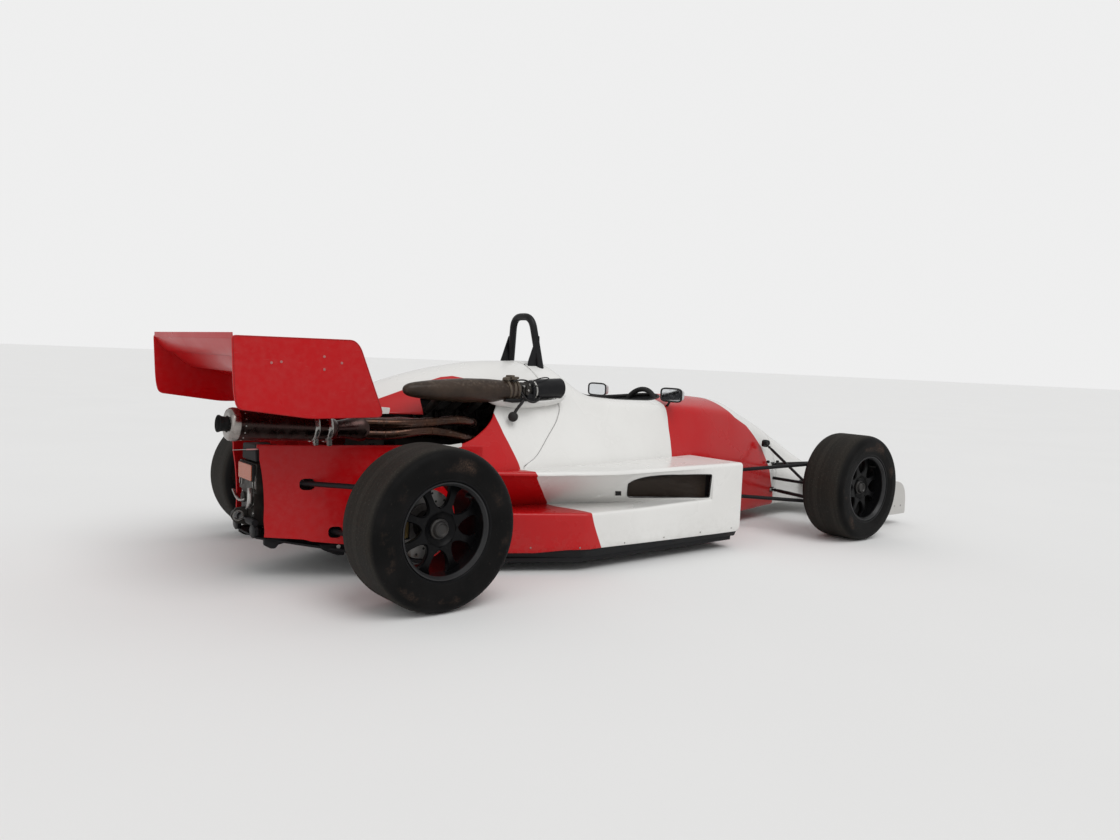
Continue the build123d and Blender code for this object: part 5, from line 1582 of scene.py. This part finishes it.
def buildExhaust():
    # Four header pipes with welds and flanges, the collector, and the silencer with its fittings.
    pipes, welds, flanges = [], [], []
    cx, cy, cz = exhaust["collector"]
    for port, bend, lane, y, z in exhaust["pipes"]:
        outer, upper = y < -0.32, z > 0.6
        drop = 0.03 if outer and not upper else 0.012
        end = (cx, cy + (-0.021 if outer else 0.021), cz + (0.021 if upper else -0.021))
        path = evenly(softPath([(port, -0.104, 0.56), (port - 0.015, bend + 0.03, z - drop - 0.012),
            (lane + 0.085, y + 0.012, z - drop), (lane - 0.06, y, z + 0.005), (0.06, y, z), end], 0.075),
                      90)
        if outer:    # the outer pipes bow up over the wheel
            rise, at, spread = (0.013, 0.36, 0.1) if upper else (0.015, 0.17, 0.12)
            path[:, 2] += rise * np.exp(-((path[:, 0] - at) / spread) ** 2)
        pipes.append(tube(path, exhaust["radius"], 24))
        welds += bandRings(path, (0.1, 0.3, 0.46, 0.66, 0.9), exhaust["radius"], 0.0045, 0.0014)
        flanges.append(plate(box((port - 0.034, port + 0.034), (0.532, 0.588), 0.018), -0.116, -0.1045))
    addPiece("headerPipes", joined(pipes), "pipe", stands=["exhaust_headers"], slot="steel_pipe")
    addPiece("headerWelds", joined(welds), "pipe")
    addPiece("headerFlanges", joined(flanges), "castPaintedShade", bevel=0.0015)
    cone = near(0, 0, [(-12, 0), (-12, 46), (0, 50.5), (14, 50), (57.75, 38), (89.25, 33.5), (105, 33),
                       (109, 0)])
    addPiece("collector", turned((cx, cy, cz), (-1, 0, -0.038), cone, 48), "canSteelAndReflection")
    a, b = (np.array([x, cy, z]) for x, z in exhaust["silencer"])
    reach = np.linalg.norm(b - a)
    d = (b - a) / reach
    slim, r = exhaust["silencerRadius"]
    wide = lambda t: slim + (r - slim) * t / reach
    can = [(0, 0), (0, 0.032), (0.004, 0.037), (0.02, wide(0.02) - 0.003), (0.03, wide(0.03)),
           (0.036, wide(0.036)), (0.04, wide(0.04) - 0.0012), (reach - 0.04, wide(reach - 0.04) - 0.0012),
           (reach - 0.036, wide(reach - 0.036))]
    can += near(reach, r, [(-28, 0), (-26, -3), (-8, -3), (-4, -12), (-2, -20)]) + [(reach - 0.002, 0)]
    addPiece("silencerCan", turned(a, d, can, 64), "canSteelAndReflection", stands=["silencer"], slot="steel_black")
    cap = [(reach - 0.0285, r * 0.9)] + near(reach, r, [(-28.5, 0.6), (-14, 1), (-5, -1), (1, -6), (3, -14)])
    cap += near(reach, 0, [(2, 29), (-4, 29)])
    addPiece("silencerCap", turned(a, d, closed(cap), 64), "capSteel")
    spout = near(reach, 0, [(-4, 21.5), (-4, 25), (12, 25), (22, 26.5), (30, 30), (33, 30), (34, 29),
                            (30, 27.2), (18, 23.5), (4, 22)])
    addPiece("tailSpout", turned(a, d, closed(spout), 48), "pipeEnd")
    addPiece("spoutDark", knob(a, d, near(reach, 0, [(3, 22.2), (6, 22.2)]), 32), "rubber")
    clamps, lugs, rivets = [], [], []
    for at in (0.036, 0.088):
        band = near(0, wide(at), [(-9, -2), (-9, 2.2), (-7, 3.4), (7, 3.4), (9, 2.2), (9, -2)])
        clamps.append(turned(a + d * at, d, closed(band), 64))
        lug = plate(box((-0.008, 0.008), (-0.012, 0.012), 0.003), -0.008, 0.006)
        lugs.append(moved(lug, a + d * at + np.array([0, -0.03, -0.048])))
    _, side, up = frameOf(d)
    for angle in 2 * np.pi * np.arange(14) / 14:
        out = side * math.cos(angle) + up * math.sin(angle)
        for at in (0.046, reach - 0.046):
            start = a + d * at + out * (wide(at) - 0.0012)
            rivets.append(turned(start, out, near(0, 0, [(-1, 0), (-1, 3.2), (0.8, 2.6), (1.4, 0)]), 10))
    addPiece("silencerClamps", joined(clamps), "steel")
    addPiece("clampLugs", joined(lugs), "steel", bevel=0.001)
    addPiece("silencerRivets", joined(rivets), "steel")


# Near-black cast metal for the block, gear case and bay fittings: partly their own dark colour, partly
# painted shade inside the bay
finishes["castPaintedShade"] = castMetal("castPaintedShade", (0.045, 0.041, 0.037), 0.5, 0.7, 0.75)
# The can's reddish-brown tint: partly the steel's own tint, partly a painted reflection of the red bodywork
# round it
finishes["canSteelAndReflection"] = castMetal("canSteelAndReflection", (0.06, 0.036, 0.033), 0.26, 0.92, 0.4)
finishes["pipeEnd"] = mouldedBlack("sootBlack", (0.006, 0.006, 0.006), 0.5, 400)
finishes["capSteel"] = castMetal("capSteel", (0.36, 0.33, 0.31), 0.22, 0.95, 0.35)
buildExhaust()

# Intake

intake = {
    "y": -0.306, "z": 0.738,
    # station, radius of the log
    "log": [(0.101, 0.0), (0.102, 0.008), (0.108, 0.0165), (0.13, 0.0265), (0.175, 0.034), (0.23, 0.04),
            (0.31, 0.046), (0.4, 0.05), (0.495, 0.049), (0.58, 0.043), (0.628, 0.04), (0.64, 0.036)],
    "runners": (0.6, 0.495, 0.39, 0.285), "port": 0.622,
    # radius and bends of each cable
    "cables": [
        (0.0026, [(0.678, -0.354, 0.768), (0.7, -0.356, 0.786), (0.74, -0.346, 0.796), (0.8, -0.318, 0.8),
                  (0.85, -0.27, 0.79)]),
        (0.0046, [(0.64, -0.345, 0.735), (0.66, -0.362, 0.7), (0.7, -0.36, 0.69), (0.74, -0.345, 0.705),
                  (0.76, -0.32, 0.72)]),
        (0.0036, [(0.6, -0.34, 0.78), (0.65, -0.35, 0.79), (0.7, -0.345, 0.77), (0.745, -0.342, 0.752)]),
        (0.006, [(0.56, -0.33, 0.7), (0.61, -0.345, 0.694), (0.66, -0.345, 0.7), (0.72, -0.33, 0.728)]),
    ],
    # station, height and radius along the duct and back inside it
    "duct": [(0.7, 0.742, 0.033), (0.706, 0.7424, 0.0385), (0.714, 0.743, 0.0415), (0.722, 0.744, 0.04),
             (0.734, 0.745, 0.0425), (0.76, 0.747, 0.0435), (0.8, 0.749, 0.0435), (0.85, 0.7515, 0.0435),
             (0.872, 0.7518, 0.044), (0.879, 0.752, 0.0445), (0.8805, 0.752, 0.0425), (0.876, 0.7518, 0.0395),
             (0.86, 0.7515, 0.0385), (0.8, 0.749, 0.0375), (0.76, 0.747, 0.034), (0.745, 0.7456, 0.027),
             (0.742, 0.745, 0.0)],
}


def buildIntake():
    # The log with its runners, the throttle housing with cables, and the duct.
    axisY, axisZ = intake["y"], intake["z"]
    stations, radii = np.array(intake["log"]).T
    x = np.concatenate([stations[:3], np.linspace(0.115, 0.628, 56), [0.636, 0.64]])
    size = smoothTable(x, stations, radii) * (1 - 0.008 * np.sin(x * 40) ** 2)
    profile = [(at - 0.101, v) for at, v in zip(x, size)] + [(0.539, 0.0)]
    addPiece("plenumLog", turned((0.101, axisY, axisZ), (1, 0, 0), profile, 72), "fibre",
             stands=["air_plenum"], slot="plenum_brown")
    runners, clamps, flanges = [], [], []
    along = np.linspace(0, 1, 26)
    for port in intake["runners"]:
        height = intake["port"]
        bends = [(port, -0.104, height), (port, -0.19, height + 0.03), (port, -0.294, 0.722)]
        path = evenly(softPath(bends, 0.05), len(along))
        runners.append(tube(path, 0.0165 + 0.004 * along ** 4 + 0.0006 * np.cos(60 * along), 22))
        clamps += bandRings(path, (0.22, 0.36), 0.0172, 0.0085, 0.0012)
        flanges.append(plate(box((port - 0.03, port + 0.03), (0.6, 0.645), 0.014), -0.114, -0.1045))
    addPiece("intakeRunners", joined(runners), "castPaintedShade")
    addPiece("runnerClamps", joined(clamps), "castPaintedShade")
    addPiece("intakeFlanges", joined(flanges), "castPaintedShade", bevel=0.0015)
    # Bands and tabs at the log's fore end
    bands = []
    for x, w, up, lean in ((0.588, 0.043, 0.002, 0.1), (0.612, 0.0415, 0.004, -0.12),
                           (0.634, 0.04, 0.004, 0.05)):
        rows = near(0, w, [(-6, -4), (-6, 1.5), (-3, 4.5), (3, 4.5), (6, 1.5), (6, -4)])
        bands.append(turned((x, axisY, axisZ + up), (1, 0, lean), rows, 14))
    addPiece("plenumBands", joined(bands), "fibreWorn")
    tabs = []
    for x, z, lean in ((0.584, 0.79, 0.5), (0.6, 0.796, -0.4), (0.622, 0.79, 0.7), (0.596, 0.7, -0.6),
                       (0.63, 0.706, 0.4)):
        outline = near(x, z, [(-12, -8), (14, -6 + 10 * lean), (12, 10), (-10, 6 - 6 * lean)])
        tabs.append(plate(roundedOutline(outline, 0.003), -0.335, -0.3))
    addPiece("plenumTabs", joined(tabs), "fibreWorn", bevel=0.001)
    # Throttle housing: ribbed casting with a spindle, lever and screws
    throttle = near(0, 0, [(0, 36), (6, 38), (10, 32), (20, 30), (26, 34), (32, 34), (36, 30), (46, 30),
                           (50, 37), (58, 37), (62, 32)])
    addPiece("throttleBody", knob((0.64, -0.306, 0.742), (1, 0, 0), throttle, 40), "castPaintedShade")
    lever = near(0, 0, [(662, 724), (676, 720), (688, 752), (682, 776), (670, 778), (664, 752)])
    turn = around(27)
    sector = np.stack([0.672 + 0.02 * np.cos(turn), 0.742 + 0.02 * np.sin(turn)], 1)
    parts = [plate(roundedOutline(lever, 0.006), -0.352, -0.347), plate(sector, -0.345, -0.339)]
    addPiece("throttleLever", joined(parts), "castPaintedShade", bevel=0.0008)
    pin, small = near(0, 0, [(-20, 5), (12, 5), (13, 4)]), near(0, 0, [(-2, 4.5), (9, 4.5)])
    places = [(0.672, -0.345, 0.742, pin), (0.678, -0.347, 0.768, small), (0.655, -0.338, 0.76, small),
              (0.7, -0.338, 0.722, small), (0.712, -0.335, 0.765, small), (0.65, -0.338, 0.716, pin)]
    addPiece("throttlePins", joined([knob((x, y, z), (0, -1, 0), rows, 16) for x, y, z, rows in places]),
             "steel")
    cables = [tube(evenly(eased(run, 3), 40), w, 10) for w, run in intake["cables"]]
    addPiece("throttleCables", joined(cables), "rubber")
    rail = [knob((0.56, -0.345, 0.7), (1, 0, 0.02), near(0, 0, [(0, 6), (4, 6.5), (160, 6.5), (164, 5)]), 18),
            knob((0.706, -0.352, 0.735), (0.1, 0, 1), near(0, 0, [(-24, 6), (20, 6), (24, 4)]), 16),
            pillow((0.69, -0.338, 0.716), (0.04, 0.03, 0.026), 5, 14)]
    addPiece("throttleRail", joined(rail), "black")
    # Duct: a rubbery tube with a rolled mouth, hollow ahead
    x, height, r = (np.array(v)[:, None] for v in zip((0.7, 0.742, 0.0), *intake["duct"]))
    a = around(56)[None]
    net = asPoints(x, axisY + r * np.cos(a), height + r * np.sin(a))
    addPiece("intakeDuct", grid(net, roundCols=True), "ductBlack", stands=["intake_duct"],
             slot="steel_black", sharp=60)
    axis = np.array([[0.716, -0.306, 0.743], [0.736, -0.306, 0.745]])
    addPiece("ductClamp", joined(bandRings(axis, (0.5,), 0.0415, 0.009, 0.0018, 48)), "steel")


def buildEngineBay():
    # The block and gearbox stay as they are. Cam covers, plugs, ribs, bolts and pipes go on them.
    for finish, names in (("castPaintedShade", ("engine_block", "gearbox")), ("floor", ("floor",)),
                          ("black", ("rear_uprights", "front_upright_left", "front_upright_right"))):
        for name in names:
            dressNode(name, finish)
    covers, heads, ribs = [], [], []
    for y in (-0.06, 0.045):
        covers.append(plate(box((0.196, 0.68), (y - 0.034, y + 0.034), 0.014), 0.65, 0.684, "z"))
        covers += [plate(box((x, x + 0.005), (y - 0.03, y + 0.03), 0.002), 0.682, 0.6865, "z")
                   for x in np.linspace(0.225, 0.645, 15)]
        heads += [(x, y + s * 0.029, 0.684) for x in (0.205, 0.32, 0.438, 0.556, 0.671) for s in (-1, 1)]
    addPiece("camCovers", joined(covers), "fibreDark", bevel=0.003)
    addPiece("camBolts", boltHeads(heads, (0, 0, 1), 0.006, 0.004), "castPaintedShade")
    for x in np.linspace(0.215, 0.665, 13):
        for heights, y in (((0.33, 0.42), -0.158), ((0.11, 0.3), -0.138)):
            ribs.append(plate(box((x - 0.002, x + 0.002), heights), y, -0.128))
    addPiece("blockRibs", joined(ribs), "castPaintedShade", bevel=0.001)
    plugs = [knob((x, -0.008, 0.655), (0, 0, 1), near(0, 0, [(-6, 12), (14, 12), (20, 9)]))
             for x in (0.285, 0.39, 0.495, 0.6)]
    addPiece("plugCaps", joined(plugs), "rubber")
    hoses = [(0.017, [(0.69, 0.06, 0.56), (0.76, 0.075, 0.56), (0.8, 0.16, 0.47), (0.8, 0.3, 0.38)]),
             (0.011, [(0.24, -0.17, 0.5), (0.16, -0.205, 0.5), (0.06, -0.215, 0.47), (-0.06, -0.18, 0.44)]),
             (0.008, [(0.64, -0.15, 0.48), (0.52, -0.185, 0.47), (0.38, -0.19, 0.48), (0.25, -0.172, 0.495)])]
    addPiece("coolantHoses", joined([tube(evenly(eased(run, 3), 40), r) for r, run in hoses]), "rubber")
    # Gear case ribs and bolts
    ribs, heads = [], []
    for side in (-1, 1):
        span = sorted((side * 0.099, side * 0.106))
        ribs += [plate(box((x - 0.002, x + 0.002), (0.198, 0.376)), *span)
                 for x in np.linspace(-0.29, 0.005, 9)]
        spots = [(x, side * 0.1, z) for x in np.linspace(-0.3, 0.015, 8) for z in (0.205, 0.372)]
        spots += [(0.082 * math.cos(a) * 0.52, side * 0.117, 0.285 + 0.042 * math.sin(a))
                  for a in 2 * np.pi * np.arange(8) / 8]
        heads.append(boltHeads(spots, (0, side, 0), 0.0055, 0.004))
    addPiece("caseRibs", joined(ribs), "castPaintedShade", bevel=0.0008)
    addPiece("caseBolts", joined(heads), "steel")


def buildRearEnd():
    # Rear light with its lens, towing-eye bush, brackets and the tail's small fittings.
    addPiece("lightHousing", plate(box((-0.076, 0.076), (0.372, 0.438), 0.008), -0.397, -0.3865, "x"),
             "rubber", stands=["rain_light"], slot="lamp_red", bevel=0.0012)
    lens = plate(box((-0.071, 0.071), (0.375, 0.435), 0.006), -0.4, -0.3965, "x")
    addPiece("lightLens", lens, "lens", bevel=0.0012)
    # A black case stands over the light, and a thin stay with a pale sleeve crosses above it
    case = roundedOutline([(-0.076, 0.447), (0.076, 0.447), (0.072, 0.508), (-0.066, 0.514)], 0.01)
    addPiece("tailCase", plate(case, -0.384, -0.3, "x"), "rubber", bevel=0.004)
    stay = (-0.398, 0.146, 0.47), (-0.398, -0.138, 0.504)
    addPiece("tailStay", between(*stay, [(0.0, 0.0012), (1.0, 0.0012)], 10), "steel")
    addPiece("staySleeve", between(*stay, [(0.56, 0.0028), (0.97, 0.0028)], 12), "boltPink")
    bush = near(0, 0, [(-6.2, 16.2), (-6.2, 21.5), (6.2, 21.5), (6.2, 16.2)])
    addPiece("towBush", turned((-0.424, 0, 0.236), (0, 1, 0), closed(bush), 40), "steel")
    bracket = near(0, 0, [(-390, 346), (-340, 346), (-340, 360), (-378, 362), (-390, 400)])
    brackets = [plate(roundedOutline(bracket, 0.004), y, y + 0.004) for y in (-0.088, -0.062, 0.058, 0.084)]
    addPiece("beamBrackets", joined(brackets), "steel", bevel=0.0006)
    # Gear lever and links on the case's end, and the lugs that hold the floor under the panels
    lever = [(-0.402, 0.118, 0.318), (-0.406, 0.07, 0.296), (-0.408, 0.02, 0.288), (-0.404, -0.03, 0.302)]
    link = [(-0.398, -0.06, 0.345), (-0.404, -0.078, 0.32), (-0.402, -0.07, 0.286), (-0.398, -0.04, 0.27)]
    levers = [tube(evenly(eased(lever, 3), 24), 0.007, 12, flat=0.6),
              tube(evenly(eased(link, 3), 24), 0.011, 14, flat=0.7)]
    addPiece("caseLever", joined(levers), "steel")
    rod = [(0.0, 0.012), (0.02, 0.014), (0.3, 0.014), (0.31, 0.009), (0.69, 0.009), (0.7, 0.014),
           (0.98, 0.014), (1.0, 0.012)]
    links = [between((-0.398, -0.118, 0.224), (-0.398, 0.118, 0.224), rod, 24)]
    links += [knob((-0.386, y, 0.19), (-1, 0, 0), near(0, 0, [(0, 27), (14, 27), (18, 20)]), 32)
              for y in (-0.095, 0.095)]
    addPiece("caseLinks", joined(links), "black")
    rear = near(0, 0, [(-372, 168), (-372, 142), (-348, 128), (-330, 126), (-318, 140), (-282, 146),
                       (-280, 166)])
    fore = near(0, 0, [(-182, 140), (-170, 116), (-112, 90), (-84, 88), (-80, 130)])
    lugs = [plate(roundedOutline(outline, 0.006), y, y + 0.016) for outline,
            y in ((rear, -0.146), (fore, -0.214))]
    addPiece("floorLugs", bothSides(joined(lugs)), "floor", bevel=0.002)
    # Dark sheets inside the panels are painted shade: they close off the light behind the lower arms' holes
    shadeSheet = [(-0.215, 0.15), (-0.07, 0.14), (-0.07, 0.232), (-0.215, 0.232)]
    addPiece("panelShadeSheets", bothSides(plate(shadeSheet, -0.2, -0.197)), "floor")
    head = boltHeads([(-0.108, -0.214, 0.124)], (0, -1, 0), 0.0085, 0.004, 16)
    addPiece("lugHeads", bothSides(head), "clipWhite")
    pads = [knob((-0.386, y, 0.3), (-1, 0, 0), near(0, 0, [(-2, 20), (6, 20), (9, 16)]), 32)
            for y in (-0.04, 0.04)]
    addPiece("endCaps", joined(pads), "castPaintedShade")
    heads = [(-0.386, y, z) for y in (-0.06, 0.06) for z in (0.215, 0.25, 0.285, 0.32)]
    addPiece("endBolts", boltHeads(heads, (-1, 0, 0), 0.0055, 0.004), "steel")


finishes["fibreWorn"] = castMetal("fibreWorn", (0.105, 0.08, 0.056), 0.6, 0.15, 0.5)
finishes["fibreDark"] = mouldedBlack("coverBlack", (0.03, 0.028, 0.027), 0.45, 300)
finishes["ductBlack"] = mouldedBlack("ductBlack", (0.005, 0.005, 0.006), 0.36, 380)
buildIntake()
buildEngineBay()
buildRearEnd()
print("engine bay made")

# Suspension. Arms are bars with sleeves and rod ends.

kingpin = 0.622    # half width between the front ball joints
arms = {
    # node, arm radius: inner points and the outer one, as station, y, height on the left side
    "front_wishbones": (0.01, [([(2.15, 0.246, 0.312), (2.61, 0.175, 0.318)], (2.528, 0.614, 0.385)),
                               ([(2.15, 0.24, 0.176), (2.61, 0.178, 0.172)], (2.542, 0.628, 0.165))]),
    "rear_wishbones": (0.01, [([(-0.3, 0.096, 0.372), (0.14, 0.11, 0.372)], (-0.02, 0.6, 0.392)),
                              ([(-0.187, 0.096, 0.198), (0.15, 0.11, 0.165)], (0.0, 0.612, 0.17))]),
    "front_pushrods": (0.0078, [([(2.49, 0.209, 0.452)], (2.526, 0.564, 0.195))]),
    "rear_pushrods": (0.0078, [([(0.075, 0.1, 0.5)], (0.03, 0.556, 0.2))]),
}


def rodWithEnds(inner, outer, radius):
    # A bar with a thin neck, a sleeve and a lock nut at its inner end, tapered over its outer end.
    # Rows are (distance along, radius).
    inner, outer = np.array(inner), np.array(outer)
    length, r = np.linalg.norm(outer - inner), radius
    rows = [(0.01, 0), (0.01, r * 0.55), (0.034, r * 0.55), (0.035, r * 0.95), (0.042, r * 0.95),
            (0.043, r * 0.7), (0.05, r * 0.72), (0.06, r), (length - 0.05, r), (length - 0.03, r),
            (length - 0.012, r * 0.9), (length - 0.01, 0)]
    return turned(inner, outer - inner, rows, 24)


def buildArms():
    # Each arm has a rod from every inner point to the outer one, and a ball joint there.
    for node, (radius, sets) in arms.items():
        bars, balls, ends = [], [], []
        size = 0.0165 if "wishbones" in node else 0.012
        rows = [(0, size * 0.75), (size * 0.25, size), (size * 1.55, size), (size * 1.8, size * 0.75)]
        for inners, (x, y, z) in sets:
            for inner in np.array(inners):
                bars.append(rodWithEnds(inner, (x, y, z), radius))
                end = near(0, 0, [(0, 12), (2, 14), (16, 14), (18, 12)])
                ends.append(knob(inner - np.array([0, 0, 0.009]), (0, 0, 1), end, 24))
            balls.append(knob((x, y, z - size * 0.9), (0, 0, 1), rows, 32))
        first, second = node.split("_")
        name = first + second.capitalize()
        addPiece(name, bothSides(joined(bars + balls)), "black", stands=[node], slot="steel_black")
        addPiece(name + "Ends", bothSides(joined(ends)), "black" if "pushrods" in node else "steel")
    # Brackets where the front arms meet the hull, and rockers at the front pushrods
    shapes = []
    for x, y, z in (p for inners, _ in arms["front_wishbones"][1] for p in inners):
        outline = roundedOutline(near(x, y, [(-22, -30), (22, -30), (16, 14), (-16, 14)]), 0.008)
        shapes += [plate(outline, z - 0.0125, z - 0.0095, "z"), plate(outline, z + 0.0095, z + 0.0125, "z")]
    addPiece("armBrackets", bothSides(joined(shapes)), "black")
    rocker = near(0, 0, [(2474, 432), (2510, 424), (2536, 440), (2532, 462), (2500, 470), (2476, 466)])
    spots = [plate(roundedOutline(rocker, 0.01), -0.212, -0.198)]
    for start in ((2.54, -0.196, 0.339), (2.65, -0.18, 0.333)):
        spots.append(knob(start, (0, -1, 0), near(0, 0, [(0, 8), (12, 8), (14, 5)]), 18))
    addPiece("pushrodRockers", bothSides(joined(spots)), "black", bevel=0.001)


def buildSteering():
    # The rack: a bar with adjuster sleeves near its ends, and an eye at each end.
    x, z, half = wheelbase + 0.08, 0.238, kingpin + 0.006
    side = near(-half, 0, [(0, 0), (0, 7.5), (40, 7.5), (41, 11), (52, 11), (53, 8.5)])
    side += near(0, 0, [(-300, 8.5), (-290, 9)])
    bar = turned((x, 0, z), (0, 1, 0), side + [(-along, r) for along, r in side[::-1]], 20)
    eye = near(0, 0, [(0, 11), (3, 14.5), (22, 14.5), (25, 11)])
    eyes = [knob((x, s * half, z - 0.0175), (0, 0, 1), eye, 28) for s in (-1, 1)]
    addPiece("steeringRack", joined([bar] + eyes), "black", "rack_bar", stands=["steering_rack"],
             slot="steel_black")


def buildUprightTrim():
    # Each caliper gets a gold face and three bolts, on the body of its upright.
    for end, x, z, disc, bodies in (("Front", wheelbase, 0.275, 0.678, ("knuckle_left", "knuckle_right")),
                                    ("Rear", 0.0, 0.285, 0.654, ("chassis", "chassis"))):
        for side, label, body in ((1, "Left", bodies[0]), (-1, "Right", bodies[1])):
            bridge = box((x - 0.134, x - 0.07), (z - 0.042, z + 0.042), 0.012)
            face = plate(bridge, *sorted((side * (disc + 0.03), side * (disc + 0.038))))
            addPiece("caliperFace" + end + label, face, "gold", body, bevel=0.003)
            heads = [(x - 0.102, side * (disc + 0.038), z + up) for up in (-0.03, 0.0, 0.03)]
            addPiece("caliperBolts" + end + label, boltHeads(heads, (0, side, 0), 0.0055, 0.003), "steel",
                     body)


buildArms()
buildSteering()
buildUprightTrim()
print("suspension made")

# Roll hoop, mirrors and small trim

hoop = {"station": 0.914, "lean": 0.026, "foot": 0.8, "half": 0.126, "topHalf": 0.0695, "top": 1.073,
        "bar": 0.017}


def buildHoop():
    # The hoop's bar, with a gusset and a foot on each side.
    front, back = hoop["station"], hoop["station"] - hoop["lean"]
    bends = [(front, -hoop["half"], hoop["foot"]), (back, -hoop["topHalf"], hoop["top"]),
             (back, hoop["topHalf"], hoop["top"]), (front, hoop["half"], hoop["foot"])]
    bar = tube(evenly(softPath(bends, 0.056, 12), 90), hoop["bar"], 28)
    addPiece("hoopBar", bar, "black", stands=["roll_hoop"], slot="steel_black")
    sheet = near(0, 0, [(914, 840), (845, 840), (845, 862), (889, 984), (905, 984)])
    sheet = roundedOutline(sheet, [0.004, 0.006, 0.01, 0.006, 0.004])
    sheets, feet = [], []
    for side in (-1, 1):
        sheets.append(plate(sheet, *sorted((side * 0.108, side * 0.113))))
        # Each foot is a plate bent to the hull's top
        foot = box((0.836, 0.946), (side * 0.085, side * 0.15), 0.014)
        points, faces = plate(foot, -0.004, 0.004, "z")
        points[:, 2] += 0.8617 - 1.2 * np.maximum(np.abs(points[:, 1]) - 0.03, 0) ** 1.6
        feet.append((points, faces))
    addPiece("hoopGussets", joined(sheets), "black", bevel=0.001)
    addPiece("hoopFeet", joined(feet), "black", bevel=0.001)


def buildMirrors():
    # A housing is rings of width cos^0.42 and height sin^0.42 that shrink to its closed front end.
    x = np.concatenate([np.linspace(0, 0.03, 10), 0.03 + 0.016 * np.sin(np.linspace(0, np.pi / 2, 12)[1:])])
    shrink = np.where(x < 0.03, 1, np.sqrt(np.clip(1 - ((x - 0.03) / 0.016) ** 2, 0, 1)))
    half = np.interp(x, [0, 0.046], [0.071, 0.056]) * (0.3 + 0.7 * shrink) * (shrink > 0.001)
    tall = np.interp(x, [0, 0.046], [0.0325, 0.025]) * (0.2 + 0.8 * shrink) * (shrink > 0.001)
    a = around(64)[None]
    housings, glasses, frames, stalks = [], [], [], []
    for side in (-1, 1):
        across, up = half[:, None] * soft(np.cos(a), 0.42), tall[:, None] * soft(np.sin(a), 0.42)
        net = asPoints(1.62 + x[:, None], side * 0.282 + across, 0.725 + up)
        housings.append(grid(net, roundCols=True))
        ring, middle = net[0], net[0].mean(0)
        frames.append(tube(ring + np.array([0.001, 0, 0]), 0.0042, 8, closed=True))
        share = np.linspace(0.97, 0, 6)[:, None, None]
        glass = middle + (ring - middle)[None] * share + np.array([0.0012, 0, 0])
        glasses.append(grid(glass, roundCols=True))
        bends = [(1.642, side * 0.205, 0.652), (1.642, side * 0.232, 0.66), (1.642, side * 0.262, 0.7)]
        stalks.append(tube(evenly(softPath(bends, 0.03), 20), np.linspace(0.0085, 0.0065, 20), 16, flat=0.7))
    addPiece("mirrorHousings", joined(housings), "mirrorShell", stands=["mirrors"], slot="body_white")
    addPiece("mirrorFrames", joined(frames), "rubber")
    addPiece("mirrorGlasses", joined(glasses), "glass", outward=False)
    addPiece("mirrorStalks", joined(stalks), "black")


def buildTrim():
    # Knob, hose and bracket seen in the opening, a pale strip of painted highlight on its lower edge, the
    # duct's trough and the panels' fasteners.
    turn = np.linspace(0.42, math.pi, 14)
    ball = [(0, 0), (0, 0.006), (0.012, 0.007), *zip(0.03 - 0.0215 * np.cos(turn), 0.0215 * np.sin(turn))]
    addPiece("breatherKnob", turned((0.612, -0.352, 0.658), (-0.45, 0, -0.9), ball, 28), "rubber")
    hose = [(0.655, -0.345, 0.705), (0.64, -0.356, 0.69), (0.622, -0.354, 0.672), (0.608, -0.352, 0.65)]
    addPiece("breatherHose", tube(evenly(eased(hose, 3), 24), 0.0065, 12), "rubber")
    bracket = roundedOutline([(0.004, 0.645), (0.038, 0.645), (0.042, 0.668), (0.006, 0.671)], 0.004)
    addPiece("edgeBracket", plate(bracket, -0.318, -0.312), "clipWhite", bevel=0.001)
    # The pale strip along the opening's lower edge is a painted highlight of the lit edge
    highlightStrip = near(0, 0, [(190, 517), (250, 512), (306, 520), (306, 535), (250, 529), (196, 534)])
    highlightStrip = plate(roundedOutline(highlightStrip, 0.004), -0.4215, -0.4185)
    addPiece("openingEdgeHighlight", highlightStrip, "clipWhite", bevel=0.0006)
    # A shallow trough in the flank carries the duct: arcs round the duct's axis, their radius growing
    # as sin(pi t)^0.3 from both ends.
    t = np.linspace(0, 1, 48)[:, None]
    a = np.radians(np.linspace(-142, -62, 24))[None]
    r = 0.02 + 0.036 * np.sin(np.pi * np.clip(t, 0.002, 0.998)) ** 0.3
    points = asPoints(0.5 + 0.41 * t, -0.295 + 0.9975 * r * np.cos(a),
                      0.742 + 0.006 * t + 1.45 * r * np.sin(a))
    addPiece("ductTrough", grid(points), "body", wall=0.004, paint=np.full(points[..., 0].size, -1.0))
    # Turn fasteners stand square on the skin, by station and section point: a cup, a slotted head
    x, u = np.array([(-0.06, 76), (0.08, 68), (0.64, 60), (0.76, 66)], float).T
    here, ahead = (np.stack([x, *sectionAt(x, u + on)], 1) for on in (0, 0.5))
    out = np.cross((ahead - here) * [0, 1, 1], (1, 0, 0))
    out *= -np.sign(out[:, 1:2]) / np.linalg.norm(out, axis=1)[:, None]
    cup = near(0, 0, [(-3, 9.5), (0.6, 9.5), (1.2, 8.5), (0.4, 7), (0.4, 5.5), (1.4, 4.5)])
    cups = [knob(start, direction, cup, 28) for start, direction in zip(here, out)]
    addPiece("panelFasteners", bothSides(joined(cups)), "steel")
    head = near(0, 0, [(-2, 3.6), (1, 3.6), (1.8, 2.2)])
    heads = [knob((x, -podHalf(np.array([x]))[0], 0.108), (0, -1, 0), head)
             for x in (0.583, 0.764, 1, 1.24, 1.48, 1.7)]
    addPiece("podFasteners", bothSides(joined(heads)), "steel")


finishes["mirrorShell"] = plainPaint("mirrorSilver", (0.52, 0.52, 0.52), (0.4, 0.4, 0.4), 0.26)
buildHoop()
buildMirrors()
buildTrim()
print("trim made")

left = [name for name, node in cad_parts.items() if not node.data.materials]
print("nodes without a finish:", left)
